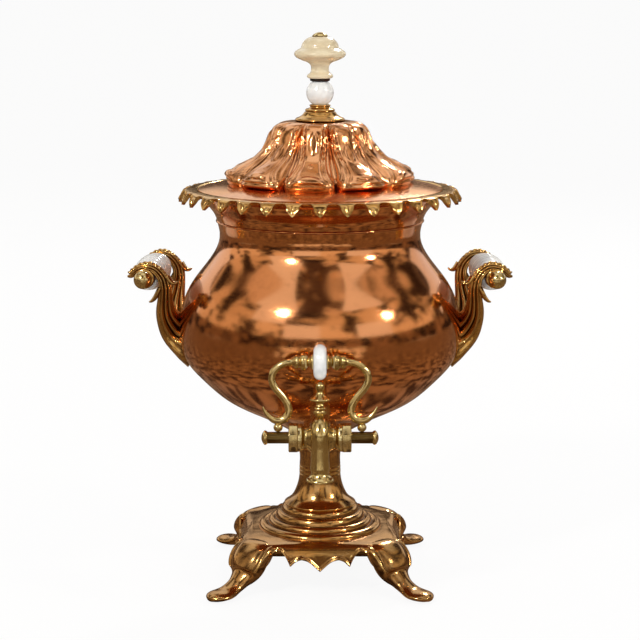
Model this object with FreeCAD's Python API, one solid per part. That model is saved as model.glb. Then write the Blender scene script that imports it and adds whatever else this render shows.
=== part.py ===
import FreeCAD, Part
import math
import os

# A copper and brass tea urn of the samovar kind, in millimetres.
# Origin: on the floor, at the centre of the plan of the whole urn with its tap. +Z is up and
# the tap faces -Y. The solids are built round the urn's own axis and moved back at the end.

# Base and feet
foot_span = 76.5
toe_length = 15.0
toe_width = 10.5
toe_height = 4.0
ankle_half = 5.6
knee_width = 16.5
knee_depth = 11.5
plate_half = 67.0
plate_corner = 20.0
plate_top = 41.0
plate_skin = 3.0
plate_edge = 5.0
apron_wall = 3.5
apron_drop = 21.7
apron_side_drop = 17.3
apron_side_x = 23.3
notch_x = 32.8
notch_end_x = 43.0
corner_start_x = 48.0
notch_drop = 4.5
scallop_x = 13.5
scallop_drop = 11.8
boss_height = 17.5
boss_ring_radii = (51.0, 44.6, 37.4, 30.6)
boss_wall = 3.5

# Stem
stem_foot_radius = 29.0
stem_waist_radius = 16.5
stem_top_radius = 20.5
stem_height = 59.5
stem_bore = 13.0
stud_radius = 3.5
stud_flange_radius = 12.0
stud_flange_height = 2.5
stud_nut_radius = 7.0
stud_nut_height = 5.0
stud_washer_radius = 10.0
stud_washer_height = 1.2

# Bowl
bowl_wall = 1.2
bowl_floor = 1.2
bowl_low_radius = 48.3
bowl_low_rise = 15.5
bowl_mid_radius = 78.4
bowl_mid_rise = 31.6
bowl_side_radius = 96.6
bowl_side_rise = 48.0
bowl_full_radius = 109.4
bowl_full_rise = 64.0
belly_radius = 113.5
belly_rise = 86.0
shoulder_radius = 103.0
shoulder_rise = 123.5
neck_radius = 80.4
neck_rise = 164.5
crease_rise = 173.0
crease_radius = 82.2

# Flared neck and border
mouth_rise = 24.9
mouth_radius = 97.5
lip_radius = 103.0
lip_wall = 1.2
crease_bead = 0.9
border_inner_clearance = 0.3
border_radius = 107.0
border_height = 1.8
drop_count = 34
drop_reach = 5.4
drop_depth = 8.0
drop_bud_radius = 2.2
drop_root_half = 4.6

# Lid
lid_wall = 1.2
lid_lobes = 10
lid_lobe_turn = -7.0
lid_height = 55.2
lid_top_radius = 20.4
lid_foot_radius = 75.5
lid_seat_width = 4.0
bezel_radius = 89.5
bezel_depth = 8.0
bezel_wall = 1.2

# Lid knob
collar_height = 13.0
collar_foot_radius = 19.8
collar_top_radius = 7.4
ball_height = 18.5
ball_radius = 10.8
washer_height = 2.2
washer_radius = 8.0
button_height = 32.6
button_radius = 20.6
button_neck_radius = 7.6
top_nut_radius = 6.2
top_nut_height = 3.6
knob_rod_radius = 2.0
rod_clearance = 0.05
inner_nut_radius = 6.0
inner_nut_height = 4.0

# Side handles
handle_turn = 5.0
grip_reach = 136.2
grip_height = 248.5
grip_length = 61.0
grip_end_radius = 10.4
grip_mid_radius = 13.8
grip_rib_count = 9
grip_rib_depth = 0.5
arm_thickness = 11.0
eye_radius = 8.0
handle_rod_radius = 2.5
ball_nut_radius = 7.2
ball_nut_seat = 1.5
rod_end_inset = 2.0
bracket_base_half = 21.0
bracket_base_height = 23.5
bracket_drop = 54.5
bracket_arm_share = 0.683
bracket_crest_share = 0.524

# Tap
tap_height = 144.0
barrel_half = 15.4
barrel_radius = 12.5
barrel_end_radius = 10.4
plug_radius = 6.8
plug_fit = 0.05
plug_half = 13.6
passage_radius = 3.4
pin_radius = 4.4
pin_half = 44.0
pin_cap_radius = 5.4
pin_cap_length = 4.6
gland_height = 7.2
gland_across = 20.8
gland_sides = 8
ring_height = 1.0
ring_radius = 10.6
spout_offset = 15.0
spout_radius = 6.6
spout_dome_rise = 18.0
spout_length = 29.6
spout_bore = 4.4
spout_lip_radius = 10.6
inlet_radius = 6.4
inlet_bore = 3.6
inlet_seat_radius = 86.0
inlet_bend_radius = 12.0
flange_radius = 13.0
flange_height = 2.5
seal_height = 1.6
seal_radius = 10.5
back_nut_across = 17.0
back_nut_height = 5.0
shank_tip = 1.5

# Finial of the tap
finial_seat_rise = 15.6
finial_rise = 42.5
finial_saucer_radius = 8.1
finial_bead_radius = 5.0
finial_knob_radius = 3.4
finial_throat_radius = 2.0
finial_spigot = 3.0
finial_spigot_radius = 2.4

# Lever of the tap
lever_rise = 57.8
lever_disc_radius = 13.4
lever_disc_width = 9.8
lever_clearance = 3.1
lever_rod_radius = 2.0
lever_bead_radius = 4.8
lever_arm_radius = 2.6
lever_arm_start = 20.8
lever_tip_radius = 0.8
lever_ball_radius = 3.3
lever_ball_x = 32.1

# Heater in the bowl
sleeve_radius = 15.0
sleeve_wall = 1.5
sleeve_height = 160.0
sleeve_foot_radius = 16.5
sleeve_foot_height = 1.5
billet_radius = 12.4
billet_length = 120.0
billet_eye_radius = 5.0
billet_eye_wire = 1.5
cover_wall = 1.2
cover_lap = 10.0
cover_clearance = 0.4
cover_knob_radius = 4.0
cover_throat_radius = 2.2
cover_knob_height = 9.0

# Levels worked out from the sizes above
boss_top = plate_top + boss_height
bowl_bottom = boss_top + stem_height
crease_level = bowl_bottom + crease_rise
mouth_level = crease_level + mouth_rise
lid_top = mouth_level + lid_height
collar_top = lid_top + collar_height
ball_top = collar_top + ball_height
washer_top = ball_top + washer_height
button_top = washer_top + button_height
arm_offset = (grip_length + arm_thickness) / 2
handle_rod_length = grip_length + 2 * (arm_thickness + ball_nut_radius - rod_end_inset)
tap_reach = belly_radius + lever_disc_radius + lever_clearance
spout_reach = tap_reach + spout_offset
front_reach = spout_reach + spout_lip_radius
axis_offset = (front_reach - belly_radius) / 2

up = FreeCAD.Vector(0, 0, 1)
across = FreeCAD.Vector(1, 0, 0)
back = FreeCAD.Vector(0, 1, 0)
origin = FreeCAD.Vector(0, 0, 0)
nothing = 1e-6


def point(x, y, z):
    return FreeCAD.Vector(x, y, z)


def spline(points):
    """A smooth edge through the points."""
    curve = Part.BSplineCurve()
    curve.interpolate(points)
    return curve.toShape()


def dome_middle(here, end):
    """A place half way along the arc from the axis to a rim, or from a rim to the axis."""
    pole, rim = (here, end) if here[0] == 0 else (end, here)
    rise = rim[1] - pole[1]
    ball = (rise ** 2 + rim[0] ** 2) / (2 * rise)
    half = math.atan2(rim[0], abs(ball) - abs(rise)) / 2
    return abs(ball) * math.sin(half), pole[1] + ball * (1 - math.cos(half))


def outline(start, *steps):
    """A closed wire in the XZ plane from (radius, height) steps.

    A step is a corner (r, z), ("arc", middle, end), ("dome", end) for part of a ball with its
    centre on the axis, or ("curve", point, ..., end).
    """
    here = start
    edges = []
    for step in list(steps) + [start]:
        if step[0] in ("arc", "dome"):
            end = step[-1]
            middle = step[1] if step[0] == "arc" else dome_middle(here, end)
            places = [point(r, 0, z) for r, z in (here, middle, end)]
            edges.append(Part.Arc(*places).toShape())
        elif step[0] == "curve":
            end = step[-1]
            edges.append(spline([point(r, 0, z) for r, z in (here,) + step[1:]]))
        else:
            end = step
            if math.dist(here, end) > nothing:
                edges.append(Part.makeLine(point(here[0], 0, here[1]), point(end[0], 0, end[1])))
        here = end
    return Part.Wire(edges)


def turned(wire, base=origin, axis=up):
    """A turned solid: the outline swept round the axis."""
    return Part.Face(wire).revolve(base, axis, 360)


def turned_across(wire, reach, height):
    """A turned solid whose outline's height runs along +X, on the tap's axis."""
    solid = turned(wire)
    solid.rotate(origin, back, 90)
    solid.translate(point(0, -reach, height))
    return solid


def rod(radius, length, base, axis=up):
    return Part.makeCylinder(radius, length, base, axis)


def prism(sides, across_flats, height, base, axis=up):
    """A bar with equal flats, such as a nut."""
    corner = across_flats / 2 / math.cos(math.pi / sides)
    turn = math.pi / sides
    corners = []
    for i in range(sides + 1):
        angle = turn + 2 * math.pi * i / sides
        corners.append(point(corner * math.cos(angle), corner * math.sin(angle), 0))
    bar = Part.Face(Part.makePolygon(corners)).extrude(point(0, 0, height))
    bar.Placement = FreeCAD.Placement(base, FreeCAD.Rotation(up, axis))
    return bar


def ring_section(centre, side_a, side_b, half_a, half_b):
    """A closed smooth section, an ellipse."""
    count = 12
    places = []
    for i in range(count):
        angle = 2 * math.pi * i / count
        offset = side_a * (half_a * math.cos(angle))
        places.append(centre + offset + side_b * (half_b * math.sin(angle)))
    curve = Part.BSplineCurve()
    curve.interpolate(Points=places, PeriodicFlag=True)
    return Part.Wire([curve.toShape()])


def horn(path, halves, side):
    """A solid along a path, with its own two half sizes at each place."""
    curve = Part.BSplineCurve()
    curve.interpolate(path)
    wires = []
    for place, (half_a, half_b) in zip(path, halves):
        tangent = curve.tangent(curve.parameter(place))[0]
        side_a = side.cross(tangent).normalize()
        side_b = tangent.cross(side_a).normalize()
        wires.append(ring_section(place, side_a, side_b, half_a, half_b))
    return Part.makeLoft(wires, True, False)


def bowl_places():
    """The outside of the bowl as (radius, rise above its bottom)."""
    return (
        (bowl_low_radius, bowl_low_rise),
        (bowl_mid_radius, bowl_mid_rise),
        (bowl_side_radius, bowl_side_rise),
        (bowl_full_radius, bowl_full_rise),
        (belly_radius, belly_rise),
        (shoulder_radius, shoulder_rise),
        (neck_radius, neck_rise),
        (crease_radius, crease_rise),
    )


def bowl_curve():
    """The outside of the bowl, from the stem's top ring to the crease in the neck."""
    places = [point(stem_top_radius, 0, bowl_bottom)]
    places += [point(r, 0, bowl_bottom + rise) for r, rise in bowl_places()]
    curve = Part.BSplineCurve()
    curve.interpolate(places)
    return curve


def bowl_inside(inset, count=14):
    """The inside of the wall as places from the floor up to the crease."""
    curve = bowl_curve()
    floor = bowl_bottom + bowl_floor
    places = []
    for i in range(count + 1):
        step = curve.FirstParameter + (curve.LastParameter - curve.FirstParameter) * i / count
        tangent = curve.tangent(step)[0]
        places.append(curve.value(step) + point(-tangent.z, 0, tangent.x) * inset)
    above = [place for place in places if place.z > floor + inset]
    first, second = above[0], above[1]
    share = (first.z - floor) / (second.z - first.z)
    foot = point(first.x - (second.x - first.x) * share, 0, floor)
    above[-1] = point(crease_radius - inset, 0, crease_level)
    return [foot] + above


def turned_under(curve_edge, low, high):
    """The solid between a curve and the axis."""
    edges = [
        curve_edge,
        Part.makeLine(high, point(0, 0, high.z)),
        Part.makeLine(point(0, 0, high.z), point(0, 0, low.z)),
        Part.makeLine(point(0, 0, low.z), low),
    ]
    return turned(Part.Wire(edges))


def bowl_outer():
    """The bowl's outside as a full solid."""
    curve = bowl_curve()
    return turned_under(curve.toShape(), curve.value(curve.FirstParameter),
                        curve.value(curve.LastParameter))


def bowl_inner():
    """The space inside the bowl as a full solid."""
    places = bowl_inside(bowl_wall)
    return turned_under(spline(places), places[0], places[-1])


def bowl_place_at(radius):
    """Where the outside has this radius below the belly, and its outward normal."""
    curve = bowl_curve()
    low = curve.FirstParameter
    high = curve.parameter(point(belly_radius, 0, bowl_bottom + belly_rise))
    for _ in range(50):
        middle = (low + high) / 2
        if curve.value(middle).x < radius:
            low = middle
        else:
            high = middle
    tangent = curve.tangent(low)[0]
    return curve.value(low), point(tangent.z, 0, -tangent.x)


def bowl_radius_at(height):
    """The radius of the bowl's outside at a height."""
    curve = bowl_curve()
    low = curve.FirstParameter
    high = curve.LastParameter
    for _ in range(50):
        middle = (low + high) / 2
        if curve.value(middle).z < height:
            low = middle
        else:
            high = middle
    return curve.value(low).x


def toe_stations():
    """Foot sections from the top down: height, distance out, depth, width."""
    top = plate_top - plate_skin
    toe_out = foot_span * math.sqrt(2)
    return (
        (top, toe_out - 33.5, knee_depth, knee_width - 2.5),
        (top - 7.0, toe_out - 29.0, knee_depth + 1.0, knee_width),
        (top - 14.0, toe_out - 25.5, knee_depth, knee_width),
        (top - 21.0, toe_out - 20.5, knee_depth - 3.5, knee_width - 4.5),
        (top - 28.0, toe_out - 14.5, ankle_half, ankle_half + 0.4),
        (toe_height + 2.5, toe_out - 9.5, ankle_half + 2.0, ankle_half + 1.4),
        (toe_height, toe_out - 3.0, toe_length - 2.0, toe_width - 1.0),
        (toe_height / 2, toe_out, toe_length, toe_width),
        (0.0, toe_out, toe_length - 1.2, toe_width - 1.2),
    )


def foot(sign_x, sign_y):
    """One cast foot: knee under the plate's corner, slim ankle, flared toe."""
    out = point(sign_x, sign_y, 0).normalize()
    side = up.cross(out)
    wires = []
    for height, distance, depth, width in toe_stations():
        wires.append(ring_section(out * distance + up * height, out, side, depth, width))
    return Part.makeLoft(wires, True, False)


def rounded_square(half, corner, low, high):
    """A square block with round upright edges."""
    block = Part.makeBox(2 * half, 2 * half, high - low, point(-half, -half, low))
    upright = [e for e in block.Edges if abs(e.tangentAt(e.FirstParameter).z) > 0.9]
    return block.makeFillet(corner, upright)


def apron_cutter():
    """What is cut away below the scalloped lower edge of the aprons, seen from the front."""
    reach = plate_half + 10.0
    tip = plate_top - apron_drop
    side = plate_top - apron_side_drop
    notch = plate_top - notch_drop
    scallop = plate_top - scallop_drop
    knee = plate_top - apron_drop
    floor = tip - 10.0

    def place(x, z):
        return point(x, -reach, z)

    def half_edge(sign):
        edges = [
            Part.Arc(place(0, tip), place(sign * 6.0, (tip + scallop) / 2 + 2.0),
                     place(sign * scallop_x, scallop)),
            Part.Arc(place(sign * scallop_x, scallop), place(sign * 19.0, scallop - 1.6),
                     place(sign * apron_side_x, side)),
            Part.Arc(place(sign * apron_side_x, side), place(sign * 26.5, notch - 5.0),
                     place(sign * notch_x, notch)),
            Part.Arc(place(sign * notch_x, notch), place(sign * 38.5, notch - 4.0),
                     place(sign * notch_end_x, side)),
        ]
        shapes = [edge.toShape() for edge in edges]
        corner = place(sign * corner_start_x, knee)
        shapes.append(Part.makeLine(place(sign * notch_end_x, side), corner))
        shapes.append(Part.makeLine(corner, place(sign * reach, knee)))
        shapes.append(Part.makeLine(place(sign * reach, knee), place(sign * reach, floor)))
        return shapes

    edges = half_edge(1) + half_edge(-1)
    edges.append(Part.makeLine(place(-reach, floor), place(reach, floor)))
    wire = Part.Wire(Part.__sortEdges__(edges))
    return Part.Face(wire).extrude(back * (2 * reach))


def boss_outline():
    """The stepped rings between the plate and the stem, hollow below."""
    ring_4, ring_3, ring_2, ring_1 = boss_ring_radii
    top = boss_top
    low = plate_top
    outer = [
        (ring_4 + 3.5, low),
        ("arc", (ring_4, low + 3.0), (ring_4 - 3.5, low + 2.0)),
        ("arc", (ring_3, low + 6.0), (ring_3 - 3.2, low + 7.0)),
        ("arc", (ring_2, low + 11.5), (ring_2 - 2.8, low + 12.5)),
        ("arc", (ring_1, low + 15.8), (ring_1 - 2.0, top)),
    ]
    inner = [
        (stud_radius + rod_clearance, top),
        (stud_radius + rod_clearance, top - boss_wall),
        (ring_1 - 4.0, top - boss_wall),
        (ring_3 - 5.0, low + 2.5),
        (ring_4 - 5.0, low - plate_skin),
        (ring_4 + 3.5, low - plate_skin),
    ]
    return outline(*(outer + inner))


def base_plate(feet):
    low = plate_top - apron_drop
    body = rounded_square(plate_half, plate_corner, low, plate_top)
    top_edges = [e for e in body.Edges if e.BoundBox.ZMin > plate_top - nothing]
    body = body.makeFillet(plate_edge, top_edges)
    inner_half = plate_half - apron_wall
    inner_corner = plate_corner - apron_wall
    body = body.cut(rounded_square(inner_half, inner_corner, low - 1, plate_top - plate_skin))
    ring_4 = boss_ring_radii[0]
    body = body.cut(rod(ring_4 + 1.0, 10 + boss_height, point(0, 0, plate_top - 10)))
    body = body.fuse(turned(boss_outline()))
    cutter = apron_cutter()
    body = body.cut(cutter)
    cutter.rotate(origin, up, 90)
    body = body.cut(cutter)
    return body.cut(Part.makeCompound(feet)).removeSplitter()


def pedestal_stem():
    low = boss_top
    top = bowl_bottom
    waist = stem_waist_radius
    wire = outline(
        (stem_bore, low),
        (stem_foot_radius, low),
        ("curve", (stem_foot_radius - 5.6, low + 5.1), (waist + 3.2, low + 12.0),
         (waist + 0.6, low + 22.0), (waist, low + 34.0), (waist + 0.5, top - 15.5)),
        (waist + 1.6, top - 12.5),
        ("arc", (waist + 5.0, top - 9.0), (waist + 1.8, top - 5.5)),
        (stem_top_radius - 1.0, top - 3.0),
        (stem_top_radius, top),
        (stem_bore, top),
    )
    return turned(wire)


def pedestal_stud():
    flange = rod(stud_flange_radius, stud_flange_height,
                 point(0, 0, bowl_bottom - stud_flange_height))
    low = boss_top - boss_wall - stud_washer_height - stud_nut_height - 2.0
    shank = rod(stud_radius, bowl_bottom - low, point(0, 0, low))
    return flange.fuse(shank).removeSplitter()


def pedestal_nut():
    low = boss_top - boss_wall - stud_washer_height - stud_nut_height
    nut = prism(6, 2 * stud_nut_radius, stud_nut_height, point(0, 0, low))
    return nut.cut(rod(stud_radius, 20, point(0, 0, low - 5)))


def pedestal_washer():
    low = boss_top - boss_wall - stud_washer_height
    washer = rod(stud_washer_radius, stud_washer_height, point(0, 0, low))
    return washer.cut(rod(stud_radius, 10, point(0, 0, low - 5)))


def vessel_bowl(tap_hole):
    """The belly: a spun copper shell with a flat floor on the stem."""
    curve = bowl_curve()
    outer_low = curve.value(curve.FirstParameter)
    outer_high = curve.value(curve.LastParameter)
    inner = bowl_inside(bowl_wall)
    edges = [
        curve.toShape(),
        Part.makeLine(outer_high, inner[-1]),
        spline(inner),
        Part.makeLine(inner[0], point(0, 0, inner[0].z)),
        Part.makeLine(point(0, 0, inner[0].z), point(0, 0, outer_low.z)),
        Part.makeLine(point(0, 0, outer_low.z), outer_low),
    ]
    shell = turned(Part.Wire(edges))
    shell.rotate(origin, up, 90)
    return shell.cut(tap_hole)


def vessel_neck():
    """The flared collar that is soldered into the bowl, with a flat lip."""
    low = crease_level
    top = mouth_level
    start = crease_radius
    rise = top - low
    wire = outline(
        (start, low),
        ("arc", (start + crease_bead, low + crease_bead), (start + 0.3, low + 2 * crease_bead)),
        ("curve", (start + 2.2, low + 0.27 * rise), (start + 9.2, low + 0.65 * rise),
         (mouth_radius - 1.2, top - lip_wall - 1.0), (lip_radius, top - lip_wall)),
        (lip_radius, top),
        (mouth_radius - 4.0, top),
        ("curve", (mouth_radius - 6.0, top - 1.4), (start + 7.6, low + 0.65 * rise),
         (start + 0.6, low + 0.27 * rise), (start - bowl_wall, low)),
    )
    return turned(wire)


def border_drop(index):
    """One hanging drop of the border: a tongue that ends in a bud or in a point."""
    is_bud = index % 2 == 0
    top = mouth_level
    tongue = [
        (border_radius - 2.6, top + 0.2, drop_root_half, 1.2),
        (border_radius + drop_reach * 0.35, top - 0.8, drop_root_half * 0.58, 1.4),
        (border_radius + drop_reach * 0.75, top - drop_depth * 0.45, drop_root_half * 0.36, 1.5),
        (border_radius + drop_reach * 0.9, top - drop_depth * 0.85, drop_root_half * 0.2, 0.9),
    ]
    path = [point(0, -r, z) for r, z, _, _ in tongue]
    halves = [(thick, half) for _, _, half, thick in tongue]
    drop = horn(path, halves, across)
    if is_bud:
        place = point(0, -(border_radius + drop_reach * 0.85), top - drop_depth * 0.72)
        drop = drop.fuse(Part.makeSphere(drop_bud_radius, place))
    drop.rotate(origin, up, 360.0 * index / drop_count)
    return drop


def rim_border():
    """The cast ring round the mouth, with its drops and the seat edge for the lid."""
    low = mouth_level
    inner = mouth_radius
    wire = outline(
        (inner, low),
        (inner, low + border_height - 0.4),
        ("arc", (inner + 4.0, low + border_height), (border_radius - 1.4, low + 0.9)),
        ("arc", (border_radius, low - 0.4), (border_radius - 1.4, low - 1.6)),
        (lip_radius, low - 1.6),
        (lip_radius, low),
    )
    ring = turned(wire)
    return ring.fuse([border_drop(i) for i in range(drop_count)])


def lid_stations():
    """Lobed lid sections: height above the seat, lobe radius, valley radius."""
    top = lid_height
    foot = lid_foot_radius
    return (
        (5.5, foot - 3.0, foot - 13.0),
        (8.0, foot - 0.6, foot - 12.6),
        (11.0, foot, foot - 13.5),
        (17.0, foot - 6.0, foot - 18.5),
        (23.5, foot - 18.1, foot - 26.5),
        (30.0, foot - 27.4, foot - 33.5),
        (36.0, foot - 32.2, foot - 37.5),
        (42.5, foot - 36.0, foot - 40.6),
        (48.5, foot - 42.0, foot - 45.6),
        (top - 1.5, foot - 49.5, foot - 50.5),
        (top, lid_top_radius, lid_top_radius),
    )


def lobe_section(height, lobe, valley):
    """A closed section with broad lobes and narrow valleys."""
    count = lid_lobes * 6
    places = []
    for i in range(count):
        angle = 2 * math.pi * i / count
        swell = abs(math.cos(lid_lobes * angle / 2)) ** 0.7
        radius = valley + (lobe - valley) * swell
        turn = angle - math.pi / 2 + math.radians(lid_lobe_turn)
        places.append(point(radius * math.cos(turn), radius * math.sin(turn), height))
    curve = Part.BSplineCurve()
    curve.interpolate(Points=places, PeriodicFlag=True)
    return Part.Wire([curve.toShape()])


def lobed_solid(inset):
    wires = []
    for rise, lobe, valley in lid_stations():
        wires.append(lobe_section(mouth_level + rise - inset * 0.6, lobe - inset, valley - inset))
    return Part.makeLoft(wires, True, False)


def lid_flange_under():
    """The space under the lid's flange, down to the level of its seat."""
    seat = mouth_level
    inner = lid_foot_radius - 16.0
    return turned(outline(
        (0, seat - 1.0),
        (mouth_radius - border_inner_clearance - lid_seat_width, seat - 1.0),
        (mouth_radius - border_inner_clearance - lid_seat_width, seat),
        ("curve", (lid_foot_radius - 3.0, seat + 4.6), (inner, seat + 5.0)),
        (0, seat + 5.0),
    ))


def lid_dome():
    """The lobed dome on its gently sloping flange, one raised copper shell."""
    seat = mouth_level
    outer = mouth_radius - border_inner_clearance
    foot = lid_foot_radius
    flange = turned(outline(
        (foot - 16.0, seat + 5.0 + lid_wall),
        ("curve", (foot - 3.0, seat + 5.0 + lid_wall), (outer - 6.0, seat + 2.6),
         (outer, seat + 1.5)),
        (outer, seat),
        (foot - 16.0, seat),
    )).cut(lid_flange_under())
    dome = lobed_solid(0).cut(lobed_solid(lid_wall))
    lid = dome.fuse(flange)
    throat = lobed_solid(lid_wall)
    lid = lid.cut(throat)
    hole = rod(knob_rod_radius + rod_clearance, 20, point(0, 0, lid_top - 10))
    return lid.cut(hole)


def lid_bezel():
    low = mouth_level - bezel_depth
    outer = bezel_radius
    top = mouth_level + 3.0
    wall = bezel_wall
    wire = outline((outer - wall, low), (outer, low), (outer, top), (outer - wall, top))
    above = lid_flange_under()
    skirt = rod(outer, bezel_depth, point(0, 0, low))
    return turned(wire).common(above.fuse(skirt))


def knob_collar():
    low = lid_top
    top = collar_top
    foot = collar_foot_radius
    hole = knob_rod_radius + rod_clearance
    wire = outline(
        (hole, low),
        (foot - 1.0, low),
        ("arc", (foot, low + 1.4), (foot - 1.4, low + 2.8)),
        (foot - 2.4, low + 3.6),
        ("curve", (foot - 6.2, low + 6.6), (collar_top_radius + 2.6, low + 8.6)),
        ("arc", (collar_top_radius + 3.4, low + 9.8), (collar_top_radius + 1.6, low + 10.8)),
        (collar_top_radius, top),
        (hole, top),
    )
    return turned(wire)


def knob_ball():
    """A ceramic ball with a small flat above and below."""
    hole = knob_rod_radius + rod_clearance
    half = ball_height / 2
    flat = math.sqrt(ball_radius ** 2 - half ** 2)
    wire = outline(
        (hole, collar_top),
        (flat, collar_top),
        ("arc", (ball_radius, collar_top + half), (flat, ball_top)),
        (hole, ball_top),
    )
    return turned(wire)


def knob_washer():
    hole = knob_rod_radius + rod_clearance
    wire = outline(
        (hole, ball_top),
        (washer_radius - 1.0, ball_top),
        ("arc", (washer_radius, (ball_top + washer_top) / 2), (washer_radius - 1.0, washer_top)),
        (hole, washer_top),
    )
    return turned(wire)


def knob_button():
    low = washer_top
    hole = knob_rod_radius + rod_clearance
    neck = button_neck_radius
    full = button_radius
    wire = outline(
        (hole, low),
        (neck + 1.0, low),
        ("arc", (neck + 2.6, low + 1.6), (neck + 1.0, low + 3.2)),
        ("curve", (neck - 0.2, low + 6.0), (neck + 0.4, low + 9.0), (neck + 5.0, low + 11.5),
         (full - 1.2, low + 13.2)),
        ("arc", (full, low + 16.5), (full - 1.4, low + 19.5)),
        ("curve", (full - 4.6, low + 22.8), (full - 6.4, low + 26.0), (full - 10.0, low + 29.4),
         (top_nut_radius - 1.0, button_top)),
        (hole, button_top),
    )
    return turned(wire)


def knob_top_nut():
    low = button_top
    top = low + top_nut_height
    wire = outline(
        (0, low),
        (top_nut_radius, low),
        (top_nut_radius, low + 0.8),
        ("dome", (0, top)),
    )
    return turned(wire).cut(rod(knob_rod_radius, 3.0, point(0, 0, low - 1)))


def knob_rod():
    low = lid_top - lid_wall - inner_nut_height - 2.0
    return rod(knob_rod_radius, button_top + 2.0 - low, point(0, 0, low))


def knob_inner_nut():
    low = lid_top - lid_wall * 0.6 - inner_nut_height
    nut = prism(6, 2 * inner_nut_radius, inner_nut_height, point(0, 0, low))
    return nut.cut(rod(knob_rod_radius, 20, point(0, 0, low - 5)))


def bracket_arm(side):
    """One S arm of a left bracket, from its half of the shell base to the nose."""
    eye_r, eye_z = grip_reach, grip_height
    low = eye_z - bracket_drop
    wall = bowl_radius_at(low)
    span = eye_r - wall
    y_arm = arm_offset
    half = arm_thickness / 2
    base = bracket_base_half
    stations = (
        (wall - 15.4, low, base - 1.0, bracket_base_height, base + 1.0),
        (wall + 0.9, low + 7.3, base, 14.6, base + 1.0),
        (eye_r - 0.717 * span, eye_z - 40.0, y_arm - 10.5, 10.6, half + 9.0),
        (eye_r - 0.618 * span, eye_z - 29.7, y_arm - 5.5, 8.1, half + 4.0),
        (eye_r - 0.644 * span, eye_z - 20.2, y_arm - 2.5, 6.4, half + 2.0),
        (eye_r - bracket_arm_share * span, eye_z - 10.7, y_arm - 0.8, 5.2, half + 0.6),
        (eye_r - 0.661 * span, eye_z - 2.7, y_arm, 4.8, half),
        (eye_r - bracket_crest_share * span, eye_z + 4.3, y_arm, 4.2, half),
        (eye_r - 0.245 * span, eye_z + 8.6, y_arm, 3.6, half),
        (eye_r + 1.3, eye_z + 8.5, y_arm, 3.2, half - 0.4),
        (eye_r + 7.8, eye_z + 5.1, y_arm, 2.6, half - 1.4),
        (eye_r + 13.5, eye_z + 1.2, y_arm, 1.3, half - 3.0),
    )
    path = [point(-r, side * y, z) for r, z, y, _, _ in stations]
    halves = [(deep, wide) for _, _, _, deep, wide in stations]
    return horn(path, halves, back)


def leaf_tip(path, halves, side):
    """A small curled leaf on an arm."""
    places = [point(-r, side * arm_offset, z) for r, z in path]
    return horn(places, halves, back)


def handle_bracket(bowl):
    """A left bracket before it is turned to its place: base, two arms, eyes and leaves."""
    eye_r, eye_z = grip_reach, grip_height
    span = eye_r - bowl_radius_at(eye_z - bracket_drop)
    arm_r = eye_r - bracket_arm_share * span
    crest_r = eye_r - bracket_crest_share * span
    outer_leaf = ((arm_r + 3.4, eye_z - 9.0), (arm_r + 6.6, eye_z - 14.0),
                  (arm_r + 10.3, eye_z - 18.8))
    inner_leaf = ((crest_r - 4.8, eye_z + 4.6), (crest_r - 8.2, eye_z - 0.8),
                  (crest_r - 12.8, eye_z - 3.4))
    solid = None
    for side in (-1, 1):
        pieces = [
            rod(eye_radius, arm_thickness - 2.0,
                point(-eye_r, side * arm_offset - arm_thickness / 2 + 1.0, eye_z), back),
            leaf_tip(outer_leaf, ((2.4, 3.4), (1.6, 2.6), (0.9, 1.4)), side),
            leaf_tip(inner_leaf, ((2.6, 3.6), (1.7, 2.8), (1.0, 1.6)), side),
        ]
        arm = bracket_arm(side).fuse(pieces)
        solid = arm if solid is None else solid.fuse(arm)
    solid = solid.cut(bowl)
    hole_length = grip_length + 3 * arm_thickness
    solid = solid.cut(rod(handle_rod_radius, hole_length,
                          point(-eye_r, -hole_length / 2, eye_z), back))
    return solid


def handle_grip():
    """The ribbed ceramic grip, thickest in the middle."""
    half = grip_length / 2
    hole = handle_rod_radius + rod_clearance
    steps = []
    pitch = grip_length / grip_rib_count

    def radius_at(along):
        return grip_end_radius + (grip_mid_radius - grip_end_radius) * math.cos(
            math.pi / 2 * along / half)

    for i in range(grip_rib_count):
        low = -half + pitch * i
        middle = low + pitch / 2
        high = low + pitch
        if i == 0:
            steps.append((radius_at(low) - grip_rib_depth, low))
        steps.append(("arc", (radius_at(middle), middle), (radius_at(high) - grip_rib_depth, high)))
    wire = outline((hole, -half), *steps, (hole, half))
    grip = turned(wire)
    grip.rotate(origin, across, -90)
    grip.translate(point(-grip_reach, 0, grip_height))
    return grip


def handle_rod():
    """The steel rod through the arms' eyes and the grip."""
    base = point(-grip_reach, -handle_rod_length / 2, grip_height)
    return rod(handle_rod_radius, handle_rod_length, base, back)


def ball_nuts():
    """Two round nuts on one rod, each with a flat where it meets the bracket's eye."""
    nuts = []
    face = arm_offset + arm_thickness / 2 - 1.0
    slab_size = 4 * ball_nut_radius
    corner_x = -grip_reach - slab_size / 2
    corner_z = grip_height - slab_size / 2
    for side in (-1, 1):
        centre = face + ball_nut_radius - ball_nut_seat
        ball = Part.makeSphere(ball_nut_radius, point(-grip_reach, side * centre, grip_height))
        low = min(side * face, side * (face - slab_size))
        slab = Part.makeBox(slab_size, slab_size, slab_size, point(corner_x, low, corner_z))
        nuts.append(ball.cut(slab).cut(handle_rod()))
    return nuts


def left_and_right(shape):
    """The same piece on both sides, each turned a little to the back."""
    left = shape.copy()
    right = shape.mirror(origin, across)
    left.rotate(origin, up, -handle_turn)
    right.rotate(origin, up, handle_turn)
    return left, right


def inlet_path():
    """The tap's inlet: from inside the bowl outward, then level to the barrel."""
    seat, normal = bowl_place_at(inlet_seat_radius)
    out = point(0, -normal.x, normal.z)
    start = point(0, -seat.x, seat.z)
    drop = (start.z - tap_height) / -out.z
    corner = start + out * drop
    return start, out, corner


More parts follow.
